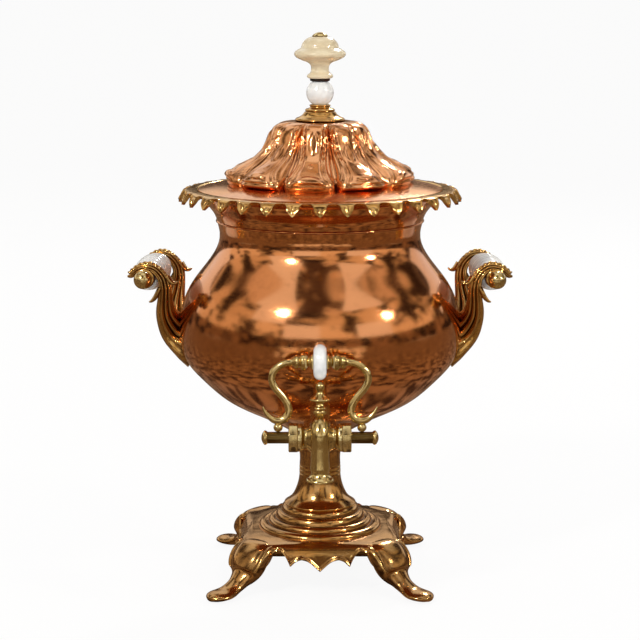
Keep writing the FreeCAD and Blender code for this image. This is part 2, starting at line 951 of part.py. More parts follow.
def inlet_pipe(radius, begin, stop):
    """A round bar along the inlet, from a distance inside the bowl's wall to a place in Y."""
    start, out, corner = inlet_path()
    slope = (out.getAngle(point(0, -1, 0)))
    setback = inlet_bend_radius * math.tan(slope / 2)
    a = start - out * begin
    b = corner - out * setback
    c = corner + point(0, -setback, 0)
    d = point(0, stop, tap_height)
    middle_dir = (out * -1 + point(0, -1, 0)).normalize()
    centre = corner + (middle_dir * (inlet_bend_radius / math.cos(slope / 2)))
    toward = (corner - centre).normalize()
    m = centre + toward * inlet_bend_radius
    wire = Part.Wire([Part.makeLine(a, b), Part.Arc(b, m, c).toShape(), Part.makeLine(c, d)])
    circle = Part.Wire([Part.Circle(a, out, radius).toShape()])
    return wire.makePipeShell([circle], True, False)


def tap_body():
    """Barrel, neck for the finial, down-turned spout and inlet, with all its bores."""
    y = -tap_reach
    end = barrel_half
    r = barrel_radius
    e = barrel_end_radius
    barrel = turned_across(outline(
        (0, -end),
        (e, -end),
        (e, -end + 1.6),
        ("curve", (e - 1.9, -end + 4.2), (r - 0.8, -end + 9.8), (r, 0),
         (r - 0.8, end - 9.8), (e - 1.9, end - 4.2), (e, end - 1.6)),
        (e, end),
        (0, end),
    ), tap_reach, tap_height)
    seat = tap_height + finial_seat_rise
    neck = turned(outline(
        (0, tap_height),
        (r - 1.5, tap_height),
        (r - 2.4, tap_height + r - 6.0),
        ("curve", (6.4, tap_height + r - 1.0), (3.6, seat - 0.6)),
        (3.6, seat),
        (0, seat),
    ))
    neck.translate(point(0, y, 0))
    top = tap_height + spout_dome_rise
    low = tap_height - spout_length
    s = spout_radius
    spout_y = -spout_reach
    column = turned(outline(
        (0, tap_height - 4.0),
        (s + 0.4, tap_height - 4.0),
        (s + 0.2, top - 7.0),
        ("dome", (0, top)),
    ))
    column.translate(point(0, spout_y, 0))
    lip = turned(outline(
        (0, low),
        (spout_lip_radius, low),
        (spout_lip_radius, low + 1.2),
        ("curve", (s + 0.6, low + 4.4), (s - 0.6, low + 8.0)),
        (s + 0.4, low + 9.6),
        (0, low + 9.6),
    ))
    lip.translate(point(0, spout_y, 0))
    wide = [ring for ring in (
        facet_ring(2 * s + 1.6, low + 9.0, spout_y),
        facet_ring(2 * s + 0.2, tap_height - 2.0, spout_y),
    )]
    facets = Part.makeLoft(wide, True, True)
    bridge = rod(s + 1.2, spout_offset, point(0, spout_y, tap_height + 1.5), back)
    body = barrel.fuse([neck, column, lip, facets, bridge])
    body = body.fuse(inlet_pipe(inlet_radius, -flange_height * 0.5, y))
    start, out, _ = inlet_path()
    shank_in = bowl_wall + seal_height + back_nut_height + shank_tip
    shank = rod(inlet_radius - 1.4, shank_in + 4.0, start + out * 4.0, out * -1)
    flange = rod(flange_radius, flange_height + 12.0, start + out * (flange_height + 1.0),
                 out * -1)
    flange = flange.cut(bowl_outer())
    body = body.fuse(flange).fuse(shank)
    bore_length = 2 * barrel_half + 2
    bore = rod(plug_radius + plug_fit, bore_length, point(-bore_length / 2, y, tap_height), across)
    outlet = rod(passage_radius, spout_offset, point(0, spout_y, tap_height), back)
    fall = rod(spout_bore, tap_height - low + 5.0, point(0, spout_y, low - 1.0))
    inlet = inlet_pipe(inlet_bore, shank_in + 2.0, y)
    socket = rod(finial_spigot_radius, finial_spigot, point(0, y, seat - finial_spigot))
    return body.cut([bore, outlet, fall, inlet, socket])


def facet_ring(across_flats, height, y):
    """An eight-sided outline of the spout at a height."""
    corner = across_flats / 2 / math.cos(math.pi / 8)
    places = []
    for i in range(9):
        angle = math.pi / 8 + math.pi / 4 * i
        places.append(point(corner * math.cos(angle), y + corner * math.sin(angle), height))
    return Part.makePolygon(places)


def tap_seal():
    """The leather washer, dished to the bowl's inner wall."""
    start, out, _ = inlet_path()
    length = bowl_wall + seal_height
    disc = rod(seal_radius, length, start - out * length, out)
    disc = disc.common(bowl_inner())
    return disc.cut(rod(inlet_radius - 1.4, 40, start - out * 30, out))


def tap_back_nut():
    start, out, _ = inlet_path()
    far = bowl_wall + seal_height + back_nut_height
    nut = prism(6, back_nut_across, back_nut_height, start - out * far, out)
    return nut.cut(rod(inlet_radius - 1.4, 40, start - out * 30, out))


def tap_plug():
    """The turning plug with its passage, its two pins and their round caps."""
    end = pin_half
    cap = pin_cap_length
    hub = plug_half
    wire = outline(
        (0, -end),
        ("dome", (pin_cap_radius, -end + cap / 2)),
        ("arc", (pin_cap_radius * 0.97, -end + cap * 0.8), (pin_radius, -end + cap)),
        (pin_radius, -hub),
        (plug_radius, -hub),
        (plug_radius, hub),
        (pin_radius, hub),
        (pin_radius, end - cap),
        ("arc", (pin_cap_radius * 0.97, end - cap * 0.8), (pin_cap_radius, end - cap / 2)),
        ("dome", (0, end)),
    )
    plug = turned_across(wire, tap_reach, tap_height)
    passage = rod(passage_radius, 4 * plug_radius,
                  point(0, -tap_reach, tap_height - 2 * plug_radius))
    return plug.cut(passage)


def pin_hole():
    length = 2 * pin_half
    return rod(pin_radius + plug_fit, length, point(-length / 2, -tap_reach, tap_height), across)


def gland_rings():
    rings = []
    for side in (-1, 1):
        start = barrel_half if side > 0 else -barrel_half - ring_height
        ring = rod(ring_radius, ring_height, point(start, -tap_reach, tap_height), across)
        rings.append(ring.cut(pin_hole()))
    return rings


def gland_nuts():
    nuts = []
    inner = barrel_half + ring_height
    for side in (-1, 1):
        start = inner if side > 0 else -inner - gland_height
        nut = prism(gland_sides, gland_across, gland_height,
                    point(start, -tap_reach, tap_height), across)
        nuts.append(nut.cut(pin_hole()))
    return nuts


def tap_finial():
    low = tap_height + finial_seat_rise
    top = tap_height + finial_rise
    bead = finial_bead_radius
    saucer = finial_saucer_radius
    throat = finial_throat_radius
    knob = finial_knob_radius
    knob_low = top - knob - math.sqrt(knob ** 2 - throat ** 2)
    wire = outline(
        (0, low - finial_spigot),
        (finial_spigot_radius, low - finial_spigot),
        (finial_spigot_radius, low),
        (3.2, low),
        (3.2, low + 2.0),
        ("arc", (bead, low + 4.2), (3.6, low + 6.0)),
        ("arc", (bead - 0.4, low + 7.6), (3.0, low + 9.2)),
        (2.6, low + 11.6),
        (saucer - 2.0, low + 13.0),
        ("arc", (saucer, low + 14.0), (saucer - 1.0, low + 15.0)),
        ("curve", (saucer - 4.0, low + 17.4), (throat, knob_low)),
        ("dome", (0, top)),
    )
    finial = turned(wire)
    finial.translate(point(0, -tap_reach, 0))
    return finial


def lever_arm(side):
    """One scroll arm, from the cross rod down to its curled tip."""
    offsets = (
        (lever_arm_start, lever_rise, 1.0),
        (27.6, lever_rise - 1.2, 1.0),
        (33.6, lever_rise - 4.6, 1.05),
        (36.6, lever_rise - 10.0, 1.1),
        (33.4, lever_rise - 16.4, 1.1),
        (27.0, lever_rise - 23.8, 1.0),
        (22.8, lever_rise - 32.6, 1.05),
        (25.6, lever_rise - 40.4, 1.1),
        (lever_ball_x, lever_rise - 43.4, 1.1),
        (38.6, lever_rise - 41.2, 0.8),
        (42.6, lever_rise - 35.4, lever_tip_radius / lever_arm_radius),
    )
    path = [point(side * x, -tap_reach, tap_height + z) for x, z, _ in offsets]
    halves = [(lever_arm_radius * grow, lever_arm_radius * grow) for _, _, grow in offsets]
    arm = horn(path, halves, back)
    ball_z = tap_height + pin_radius + lever_ball_radius * 0.92
    ball = Part.makeSphere(lever_ball_radius,
                           point(side * lever_ball_x, -tap_reach, ball_z))
    stalk_low = tap_height + pin_radius * 0.5
    stalk = rod(lever_arm_radius * 0.8, lever_rise - 43.4 - pin_radius * 0.5,
                point(side * lever_ball_x, -tap_reach, stalk_low))
    return arm.fuse([ball, stalk])


def lever_arms():
    pins = rod(pin_radius, 2 * pin_half, point(-pin_half, -tap_reach, tap_height), across)
    rods = lever_cross_rods()
    return [lever_arm(side).cut([pins, rods]) for side in (-1, 1)]


def lever_cross_rods():
    """The turned beads on both sides of the disc, on one rod through it."""
    half = lever_disc_width / 2
    bead = lever_bead_radius
    core = lever_rod_radius
    end = lever_arm_start
    right = turned_across(outline(
        (0, half),
        (bead + 0.6, half),
        (bead + 0.6, half + 1.4),
        ("curve", (3.0, half + 3.8), (3.0, half + 5.0)),
        ("arc", (bead, half + 7.4), (3.4, half + 9.8)),
        ("arc", (bead - 0.4, half + 11.4), (3.0, half + 13.0)),
        (lever_arm_radius, end),
        (0, end),
    ), tap_reach, tap_height + lever_rise)
    left = right.mirror(origin, across)
    middle = rod(core, lever_disc_width + 2,
                 point(-half - 1, -tap_reach, tap_height + lever_rise), across)
    return right.fuse([left, middle])


def lever_disc():
    half = lever_disc_width / 2
    r = lever_disc_radius
    hole = lever_rod_radius
    wire = outline(
        (hole, -half),
        (r - 4.4, -half),
        ("arc", (r, 0), (r - 4.4, half)),
        (hole, half),
    )
    return turned_across(wire, tap_reach, tap_height + lever_rise)


def heater_sleeve():
    """The closed tube in the middle of the bowl that takes the hot billet."""
    low = bowl_bottom + bowl_floor
    inner = sleeve_radius - sleeve_wall
    wire = outline(
        (0, low),
        (sleeve_foot_radius, low),
        (sleeve_foot_radius, low + sleeve_foot_height),
        (sleeve_radius, low + sleeve_foot_height),
        (sleeve_radius, low + sleeve_height),
        (inner, low + sleeve_height),
        (inner, low + sleeve_foot_height),
        (0, low + sleeve_foot_height),
    )
    return turned(wire)


def heater_billet():
    """The iron billet with the eye that its hook takes."""
    low = bowl_bottom + bowl_floor + sleeve_foot_height
    top = low + billet_length
    wire = outline(
        (0, low),
        (billet_radius - 1.5, low),
        (billet_radius, low + 1.5),
        (billet_radius, top - 1.5),
        (billet_radius - 1.5, top),
        (0, top),
    )
    eye = Part.makeTorus(billet_eye_radius, billet_eye_wire, point(0, 0, top + billet_eye_radius),
                         back)
    return turned(wire).fuse(eye)


def heater_cover():
    """The cap over the sleeve, with a small knob."""
    seat = bowl_bottom + bowl_floor + sleeve_height
    outer = sleeve_radius + cover_clearance + cover_wall
    inner = sleeve_radius + cover_clearance
    top = seat + cover_wall
    throat = cover_throat_radius
    knob = cover_knob_radius
    knob_top = top + cover_knob_height
    knob_low = knob_top - knob - math.sqrt(knob ** 2 - throat ** 2)
    wire = outline(
        (0, seat),
        (inner, seat),
        (inner, seat - cover_lap),
        (outer, seat - cover_lap),
        (outer, top - 0.6),
        (outer - 0.6, top),
        (throat + 0.4, top),
        (throat, knob_low),
        ("dome", (0, knob_top)),
    )
    return turned(wire)


def export(name, solids):
    """Write one node, and say if a solid is not sound."""
    solids = solids if isinstance(solids, list) else [solids]
    pieces = []
    for solid in solids:
        pieces.extend(solid.Solids)
    shape = pieces[0].copy() if len(pieces) == 1 else Part.makeCompound(pieces)
    shape.translate(point(0, axis_offset, 0))
    box = shape.BoundBox
    print("%-22s solids %2d valid %s volume %9.1f x %.1f..%.1f y %.1f..%.1f z %.1f..%.1f" % (
        name, len(pieces), shape.isValid(), shape.Volume, box.XMin, box.XMax, box.YMin,
        box.YMax, box.ZMin, box.ZMax))
    shape.exportStep("parts/%s.step" % name)


def main():
    os.makedirs("parts", exist_ok=True)
    corners = {
        "foot_front_left": (-1, -1),
        "foot_front_right": (1, -1),
        "foot_back_left": (-1, 1),
        "foot_back_right": (1, 1),
    }
    feet = {name: foot(*signs) for name, signs in corners.items()}
    for name, shape in feet.items():
        export(name, shape)
    export("base_plate", base_plate(list(feet.values())))
    export("pedestal_stem", pedestal_stem())
    export("pedestal_stud", pedestal_stud())
    export("pedestal_nut", pedestal_nut())
    export("pedestal_washer", pedestal_washer())

    full_bowl = bowl_outer()
    start, out, _ = inlet_path()
    tap_hole = rod(inlet_radius - 1.4, 30, start + out * 10, out * -1)
    export("vessel_bowl", vessel_bowl(tap_hole))
    export("vessel_neck", vessel_neck())
    export("rim_border", rim_border())

    export("lid_dome", lid_dome())
    export("lid_bezel", lid_bezel())
    export("knob_collar", knob_collar())
    export("knob_ball", knob_ball())
    export("knob_washer", knob_washer())
    export("knob_button", knob_button())
    export("knob_top_nut", knob_top_nut())
    export("knob_rod", knob_rod())
    export("knob_inner_nut", knob_inner_nut())

    bracket = handle_bracket(full_bowl)
    sides = ("left", "right")
    for side, shape in zip(sides, left_and_right(bracket)):
        export("handle_bracket_" + side, shape)
    for side, shape in zip(sides, left_and_right(handle_grip())):
        export("handle_grip_" + side, shape)
    export("handle_rods", list(left_and_right(handle_rod())))
    nuts = [nut for pair in (left_and_right(nut) for nut in ball_nuts()) for nut in pair]
    export("handle_ball_nuts", nuts)

    export("tap_body", tap_body())
    export("tap_seal", tap_seal())
    export("tap_back_nut", tap_back_nut())
    export("tap_plug", tap_plug())
    export("tap_gland_rings", gland_rings())
    export("tap_gland_nuts", gland_nuts())
    export("tap_finial", tap_finial())
    export("lever_arms", lever_arms())
    export("lever_cross_rod", lever_cross_rods())
    export("lever_disc", lever_disc())

    export("heater_sleeve", heater_sleeve())
    export("heater_billet", heater_billet())
    export("heater_cover", heater_cover())


main()
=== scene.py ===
import math

import bpy
from bpy.props import FloatProperty, FloatVectorProperty, IntProperty, PointerProperty
from mathutils import Matrix, Vector


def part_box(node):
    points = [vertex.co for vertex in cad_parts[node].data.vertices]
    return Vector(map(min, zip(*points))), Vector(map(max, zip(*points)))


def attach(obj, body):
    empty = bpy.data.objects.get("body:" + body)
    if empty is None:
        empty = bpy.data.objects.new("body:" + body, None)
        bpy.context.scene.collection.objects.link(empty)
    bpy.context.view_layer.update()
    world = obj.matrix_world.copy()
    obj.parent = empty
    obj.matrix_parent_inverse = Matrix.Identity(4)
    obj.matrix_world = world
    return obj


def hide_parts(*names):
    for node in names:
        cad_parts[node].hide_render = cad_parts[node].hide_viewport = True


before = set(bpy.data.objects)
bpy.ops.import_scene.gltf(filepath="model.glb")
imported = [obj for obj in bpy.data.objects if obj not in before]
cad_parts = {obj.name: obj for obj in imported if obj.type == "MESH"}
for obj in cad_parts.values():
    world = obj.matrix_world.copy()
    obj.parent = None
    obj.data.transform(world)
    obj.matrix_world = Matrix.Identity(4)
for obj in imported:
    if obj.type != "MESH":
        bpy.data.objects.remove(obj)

bl_info = {
    "name": "Copper tea urn",
    "version": (1, 0, 0),
    "blender": (4, 5, 0),
    "location": "View3D > Sidebar > Tea urn",
    "description": "Builds the looks of a copper and brass tea urn round its CAD frame",
    "category": "Add Mesh",
}

# Sizes are in millimetres round the urn's own axis, and become metres when a piece is made.
MM = 0.001
BOWL_LOW, BOWL_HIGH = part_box("vessel_bowl")
AXIS_Y = (BOWL_LOW.y + BOWL_HIGH.y) / 2
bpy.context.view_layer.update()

# Places nearer than this are one
MERGE_DISTANCE = 0.001

# Levels above the floor
PLATE_TOP = 41.0
BOSS_TOP = 58.5
BOWL_BOTTOM = 118.0
CREASE = 291.0
MOUTH = 315.9
LID_TOP = 371.1
BUTTON_LOW = 404.8

# Places of the tap, its lever and the handles
TAP_REACH = 130.0
TAP_HEIGHT = 144.0
SPOUT_REACH = 145.0
LEVER_HEIGHT = 201.8
GRIP_REACH = 136.2
GRIP_HEIGHT = 248.5
ARM_PLACE = 36.0
HANDLE_TURN = 5.0


# Curves and places

def smooth_run(places, steps):
    """A cubic through the places whose slope and bend run on evenly."""
    count = len(places)
    if count == 2:
        return [list(place) for place in places]
    size = len(places[0])
    gaps = [max(math.dist(a, b), MERGE_DISTANCE) for a, b in zip(places, places[1:])]
    bends = []
    for axis in range(size):
        line = [place[axis] for place in places]
        slope = [0.0] * count
        ratio = [0.0] * count
        for i in range(1, count - 1):
            low, high = gaps[i - 1], gaps[i]
            change = 6 * ((line[i + 1] - line[i]) / high - (line[i] - line[i - 1]) / low)
            weight = 2 * (low + high) - low * ratio[i - 1]
            ratio[i] = high / weight
            slope[i] = (change - low * slope[i - 1]) / weight
        bend = [0.0] * count
        for i in range(count - 2, 0, -1):
            bend[i] = slope[i] - ratio[i] * bend[i + 1]
        bends.append(bend)
    line = []
    for i, gap in enumerate(gaps):
        for step in range(steps):
            far = step / steps
            near = 1 - far
            spot = []
            for axis in range(size):
                a, b = places[i][axis], places[i + 1][axis]
                low, high = bends[axis][i], bends[axis][i + 1]
                curve = (near ** 3 - near) * low + (far ** 3 - far) * high
                spot.append(a * near + b * far + curve * gap * gap / 6)
            line.append(spot)
    line.append(list(places[-1]))
    return line


def through(places, steps=6):
    """A smooth line through the places. A place given twice is a corner."""
    runs = [[places[0]]]
    for before, place in zip(places, places[1:]):
        if before == place:
            runs.append([place])
        else:
            runs[-1].append(place)
    line = []
    for run in runs:
        if len(run) > 1:
            spots = smooth_run(run, steps)
            line += spots if not line else spots[1:]
    return line


def outline(low, runs, steps):
    """A turned outline from runs of (radius, rise over a level), each from the last one's end."""
    places = []
    for run in runs:
        places += places[-1:] + [(r, low + z) for r, z in run]
    return through(places, steps)


def along(line, share):
    """The place at a share of a line's steps."""
    where = share * (len(line) - 1)
    low = min(int(where), len(line) - 2)
    rest = where - low
    return [a + (b - a) * rest for a, b in zip(line[low], line[low + 1])]


def read_line(line, where):
    """The second number of a line at the place where its first number is given."""
    for low, high in zip(line, line[1:]):
        if where <= high[0] and high[0] > low[0]:
            share = (where - low[0]) / (high[0] - low[0])
            return low[1] + (high[1] - low[1]) * share
    return line[-1][1]


def ease(low, high, value):
    """Rises smoothly from 0 at low to 1 at high."""
    share = min(max((value - low) / (high - low), 0.0), 1.0)
    return share * share * (3 - 2 * share)


def hump(value, width):
    """A soft bump, 1 at 0 and small beyond the width."""
    return math.exp(-(value / width) ** 2)


def polar(radius, angle):
    """A place at a distance and an angle."""
    return radius * math.cos(angle), radius * math.sin(angle)


def to_frame(place):
    """A place in millimetres round the urn's axis, in the frame's metres."""
    return Vector((place[0] * MM, place[1] * MM + AXIS_Y, place[2] * MM))


# Making pieces

def clear_selection():
    """Leaves edit mode with nothing selected."""
    if bpy.context.object and bpy.context.object.mode != "OBJECT":
        bpy.ops.object.mode_set(mode="OBJECT")
    bpy.ops.object.select_all(action="DESELECT")


def select_only(piece):
    """Leaves one piece selected and active."""
    clear_selection()
    piece.select_set(True)
    bpy.context.view_layer.objects.active = piece


def seal_shell(ends):
    """Merges the seams of the piece in edit mode, caps its open ends and turns its faces out."""
    bpy.ops.mesh.select_all(action="SELECT")
    bpy.ops.mesh.remove_doubles(threshold=MERGE_DISTANCE * MM)
    if ends:
        bpy.ops.mesh.select_all(action="SELECT")
        bpy.ops.mesh.fill_holes(sides=0)
    bpy.ops.mesh.select_all(action="SELECT")
    bpy.ops.mesh.normals_make_consistent(inside=False)
    bpy.ops.object.mode_set(mode="OBJECT")


def turned_piece(name, places, columns, seat=(0.0, 0.0), across=False):
    """A turned piece: its outline is extruded place by place and spun round its axis."""
    clear_selection()
    bpy.ops.mesh.primitive_plane_add(size=MM, location=(0, 0, 0))
    piece = bpy.context.object
    piece.name = name
    bpy.ops.object.mode_set(mode="EDIT")
    bpy.ops.mesh.select_all(action="SELECT")
    bpy.ops.mesh.merge(type="CENTER")
    here = places[0]
    bpy.ops.transform.translate(value=(here[0] * MM, 0, here[1] * MM))
    for place in places[1:]:
        step = ((place[0] - here[0]) * MM, 0, (place[1] - here[1]) * MM)
        bpy.ops.mesh.extrude_region_move(TRANSFORM_OT_translate={"value": step})
        here = place
    bpy.ops.mesh.select_all(action="SELECT")
    bpy.ops.mesh.spin(steps=columns, angle=2 * math.pi, center=(0, 0, 0), axis=(0, 0, 1))
    seal_shell(ends=False)
    lay = Matrix.Rotation(math.pi / 2, 4, "Y") if across else Matrix.Identity(4)
    piece.data.transform(Matrix.Translation(to_frame((0, seat[0], seat[1]))) @ lay)
    return piece


def draped_piece(name, columns, rows, place, ends=True):
    """A grid laid over a surface, place(u, v) in millimetres, closed round u and at its ends."""
    clear_selection()
    bpy.ops.mesh.primitive_grid_add(x_subdivisions=columns, y_subdivisions=rows, size=1)
    piece = bpy.context.object
    piece.name = name
    for vertex in piece.data.vertices:
        u = vertex.co.x + 0.5
        v = vertex.co.y + 0.5
        vertex.co = to_frame(place(0.0 if u > 1 - 1e-5 else u, v))
    bpy.ops.object.mode_set(mode="EDIT")
    seal_shell(ends)
    return piece


# How far before and after a place its direction is taken, as a share of the line
TANGENT_STEP = 0.01


def round_section(angle, v):
    """The plain round section of a horn, the same all along it."""
    return polar(1.0, angle)


def tangent_at(line, share):
    """The direction of a line at a share of its steps."""
    ahead = along(line, min(share + TANGENT_STEP, 1.0))
    behind = along(line, max(share - TANGENT_STEP, 0.0))
    return Vector([a - b for a, b in zip(ahead[:3], behind[:3])]).normalized()


def horn_piece(name, stations, columns, rows, side, section=round_section):
    """A piece along a smooth path of (x, y, z, half size in the plane, half size to the side)."""
    line = through(stations, 10)

    def place(u, v):
        x, y, z, deep, wide = along(line, v)
        tangent = tangent_at(line, v)
        first = side.cross(tangent).normalized()
        second = tangent.cross(first).normalized()
        in_plane, sideways = section(2 * math.pi * u, v)
        return Vector((x, y, z)) + first * (deep * in_plane) + second * (wide * sideways)

    return draped_piece(name, columns, rows, place)


def ball_piece(name, centre, radius):
    """A cast ball."""
    clear_selection()
    bpy.ops.mesh.primitive_ico_sphere_add(subdivisions=3, radius=radius * MM,
                                          location=to_frame(centre))
    piece = bpy.context.object
    piece.name = name
    bpy.ops.object.transform_apply(location=True, rotation=True, scale=True)
    return piece


def eased_cylinder(sides, radius, depth, centre, rotation, edge):
    """A cylinder at its size and place with its edges eased."""
    clear_selection()
    bpy.ops.mesh.primitive_cylinder_add(
        vertices=sides, radius=radius * MM, depth=depth * MM, rotation=rotation,
        location=to_frame(centre))
    piece = bpy.context.object
    bpy.ops.object.transform_apply(location=True, rotation=True, scale=True)
    bpy.ops.object.mode_set(mode="EDIT")
    bpy.ops.mesh.select_all(action="SELECT")
    bpy.ops.mesh.bevel(offset=edge * MM, segments=3, affect="EDGES")
    bpy.ops.object.mode_set(mode="OBJECT")
    return piece


def joined(name, pieces):
    """Several shells as one piece."""
    clear_selection()
    for piece in pieces:
        piece.select_set(True)
    bpy.context.view_layer.objects.active = pieces[0]
    bpy.ops.object.join()
    pieces[0].name = name
    return pieces[0]


def moved_about_axis(piece, move):
    """Turns or mirrors a piece's mesh about the urn's own upright axis."""
    axis = Vector((0, AXIS_Y, 0))
    piece.data.transform(Matrix.Translation(axis) @ move @ Matrix.Translation(-axis))


def mirrored(piece, name):
    """A copy of a piece with its own mesh, mirrored to the urn's other side."""
    clear_selection()
    twin = piece.copy()
    twin.data = piece.data.copy()
    twin.name = name
    bpy.context.scene.collection.objects.link(twin)
    moved_about_axis(twin, Matrix.Diagonal((-1, 1, 1, 1)))
    twin.data.flip_normals()
    return twin


def finished(piece, finish, body, node, angle=40.0):
    """Shading, finish, body and slot of a piece, and the CAD node that it stands for."""
    select_only(piece)
    bpy.ops.object.shade_smooth_by_angle(angle=math.radians(angle))
    piece.data.materials.clear()
    piece.data.materials.append(FINISHES[finish])
    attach(piece, body)
    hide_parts(node)


def thickened(piece, thickness):
    """Gives a shell its wall, inwards."""
    select_only(piece)
    wall = piece.modifiers.new("wall", "SOLIDIFY")
    wall.thickness = thickness * MM
    wall.offset = -1.0
    bpy.ops.object.modifier_apply(modifier=wall.name)


# Materials

def linear(red, green, blue):
    """A colour of 0 to 255 as the sockets take it."""
    shares = []
    for part in (red, green, blue):
        share = part / 255
        shares.append(share / 12.92 if share <= 0.04045 else ((share + 0.055) / 1.055) ** 2.4)
    return (*shares, 1.0)


def plug(tree, socket, value):
    """Links a socket to another one, or gives it a constant."""
    if isinstance(value, bpy.types.NodeSocket):
        tree.links.new(value, socket)
    else:
        socket.default_value = value


def feed(tree, node, **values):
    """Plugs values into the inputs that they name, an underscore for each space."""
    for label, value in values.items():
        plug(tree, node.inputs[label.replace("_", " ")], value)
    return node


def add_node(tree, kind, **values):
    """A new node with its inputs fed."""
    return feed(tree, tree.nodes.new(kind), **values)


def new_group(name, inputs, outputs):
    """A node group, the values that it is given and its output node."""
    tree = bpy.data.node_groups.new(name, "ShaderNodeTree")
    for label, value in inputs.items():
        kind = "NodeSocketColor" if isinstance(value, tuple) else "NodeSocketFloat"
        socket = tree.interface.new_socket(label, in_out="INPUT", socket_type=kind)
        socket.default_value = value
    for label in outputs:
        kind = "NodeSocketColor" if label == "Color" else "NodeSocketFloat"
        tree.interface.new_socket(label, in_out="OUTPUT", socket_type=kind)
    return tree, tree.nodes.new("NodeGroupInput").outputs, tree.nodes.new("NodeGroupOutput")


def add_group(tree, name, **values):
    """The outputs of a node group placed in a material with the material's own values."""
    node = tree.nodes.new("ShaderNodeGroup")
    node.node_tree = bpy.data.node_groups[name]
    return feed(tree, node, **values).outputs


def object_places(tree):
    """The coordinate that the marks on a piece follow."""
    return add_node(tree, "ShaderNodeTexCoord").outputs["Object"]


def noise(tree, **values):
    """The value of a noise texture."""
    return add_node(tree, "ShaderNodeTexNoise", **values).outputs[0]


def sum_of(tree, kind, first, second):
    """The result of a sum on two sockets or numbers."""
    node = tree.nodes.new("ShaderNodeMath")
    node.operation = kind
    plug(tree, node.inputs[0], first)
    plug(tree, node.inputs[1], second)
    return node.outputs[0]


def ranged(tree, value, low, high, to_low=0.0, to_high=1.0):
    """A value eased from one range to another."""
    node = tree.nodes.new("ShaderNodeMapRange")
    node.interpolation_type = "SMOOTHSTEP"
    feed(tree, node, Value=value, From_Min=low, From_Max=high, To_Min=to_low, To_Max=to_high)
    return node.outputs[0]


def colour_mix(tree, share, first, second):
    """Two colours or sockets mixed by a share."""
    node = tree.nodes.new("ShaderNodeMix")
    node.data_type = "RGBA"
    for number, value in ((0, share), (6, first), (7, second)):
        plug(tree, node.inputs[number], value)
    return node.outputs[2]


def bump(tree, height, strength, depth):
    """The normals that a height lifts."""
    return add_node(tree, "ShaderNodeBump", Height=height, Strength=strength,
                    Distance=depth).outputs[0]


def make_tarnish_and_shade_group():
    """Clouds and spots of tarnish, and dark hollows: painted shade in the hollows, partly
    standing for patina there.
    """
    tree, given, end = new_group(
        "tarnish", {"Clean": (0.8, 0.5, 0.3, 1), "Aged": (0.3, 0.15, 0.08, 1), "Scale": 20.0,
                    "Amount": 0.5, "Hollows": 0.5}, ("Color", "Mask"))
    places = object_places(tree)
    clouds = noise(tree, Vector=places, Detail=5.0, Scale=given["Scale"])
    fine_scale = sum_of(tree, "MULTIPLY", given["Scale"], 11.0)
    spots = noise(tree, Vector=places, Detail=8.0, Scale=fine_scale)
    spot = sum_of(tree, "MULTIPLY", ranged(tree, spots, 0.56, 0.74), 0.45)
    both = sum_of(tree, "ADD", ranged(tree, clouds, 0.42, 0.72), spot)
    worked = sum_of(tree, "MULTIPLY", both, given["Amount"])
    # Hollows found by pointiness are darkened towards the aged colour: painted shade, partly
    # patina in them.
    shape = add_node(tree, "ShaderNodeNewGeometry").outputs["Pointiness"]
    deep = sum_of(tree, "MULTIPLY", ranged(tree, shape, 0.495, 0.43), given["Hollows"])
    mask = sum_of(tree, "ADD", worked, deep)
    mask.node.use_clamp = True
    feed(tree, end, Color=colour_mix(tree, mask, given["Clean"], given["Aged"]), Mask=mask)


def make_edge_wear_and_highlight_group():
    """Edges that hands and cloths have rubbed bright, with a painted highlight on the same edges.
    """
    tree, given, end = new_group(
        "edge_wear_and_highlight", {"Body": (0.5, 0.3, 0.2, 1), "Rubbed": (0.9, 0.7, 0.4, 1), "Amount": 0.6},
        ("Color", "Mask"))
    # Convex edges found by pointiness take the rubbed colour: rubbed wear and a painted
    # highlight.
    shape = add_node(tree, "ShaderNodeNewGeometry").outputs["Pointiness"]
    breaks = noise(tree, Vector=object_places(tree), Detail=5.0, Scale=90.0)
    patchy = ranged(tree, breaks, 0.3, 0.6, 0.35, 1.0)
    edge = sum_of(tree, "MULTIPLY", ranged(tree, shape, 0.51, 0.58), patchy)
    mask = sum_of(tree, "MULTIPLY", edge, given["Amount"])
    feed(tree, end, Color=colour_mix(tree, mask, given["Body"], given["Rubbed"]), Mask=mask)


def make_hand_marks_group():
    """Soft dents from raising the metal, and fine polishing lines."""
    tree, given, end = new_group(
        "hand_marks", {"Dent Scale": 30.0, "Dents": 1.0, "Lines": 0.1}, ("Height", "Lines"))
    places = object_places(tree)
    dents = noise(tree, Vector=places, Detail=1.0, Scale=given["Dent Scale"])
    stretch = add_node(tree, "ShaderNodeMapping", Vector=places, Scale=(260.0, 260.0, 2600.0),
                       Rotation=(0.2, 0.35, 0.1))
    lines = noise(tree, Vector=stretch.outputs[0], Detail=3.0, Scale=1.0)
    high = sum_of(tree, "MULTIPLY", dents, given["Dents"])
    fine = sum_of(tree, "MULTIPLY", lines, given["Lines"])
    feed(tree, end, Height=sum_of(tree, "ADD", high, fine), Lines=ranged(tree, lines, 0.45, 0.7))


FINISHES = {}


def patina_and_shade_material(name, clean, aged_and_shade, rough, aged_rough, **patina_and_shade):
    """Starts a finish: its tree and shader, the colour of its patina with painted shade in its
    hollows, and its roughness.
    """
    material = bpy.data.materials.new(name)
    material.use_nodes = True
    FINISHES[name] = material
    tree = material.node_tree
    worn = add_group(tree, "tarnish", Clean=clean, Aged=linear(*aged_and_shade), **patina_and_shade)
    shine = ranged(tree, worn["Mask"], 0.0, 1.0, rough, aged_rough)
    return tree, tree.nodes["Principled BSDF"], worn["Color"], shine


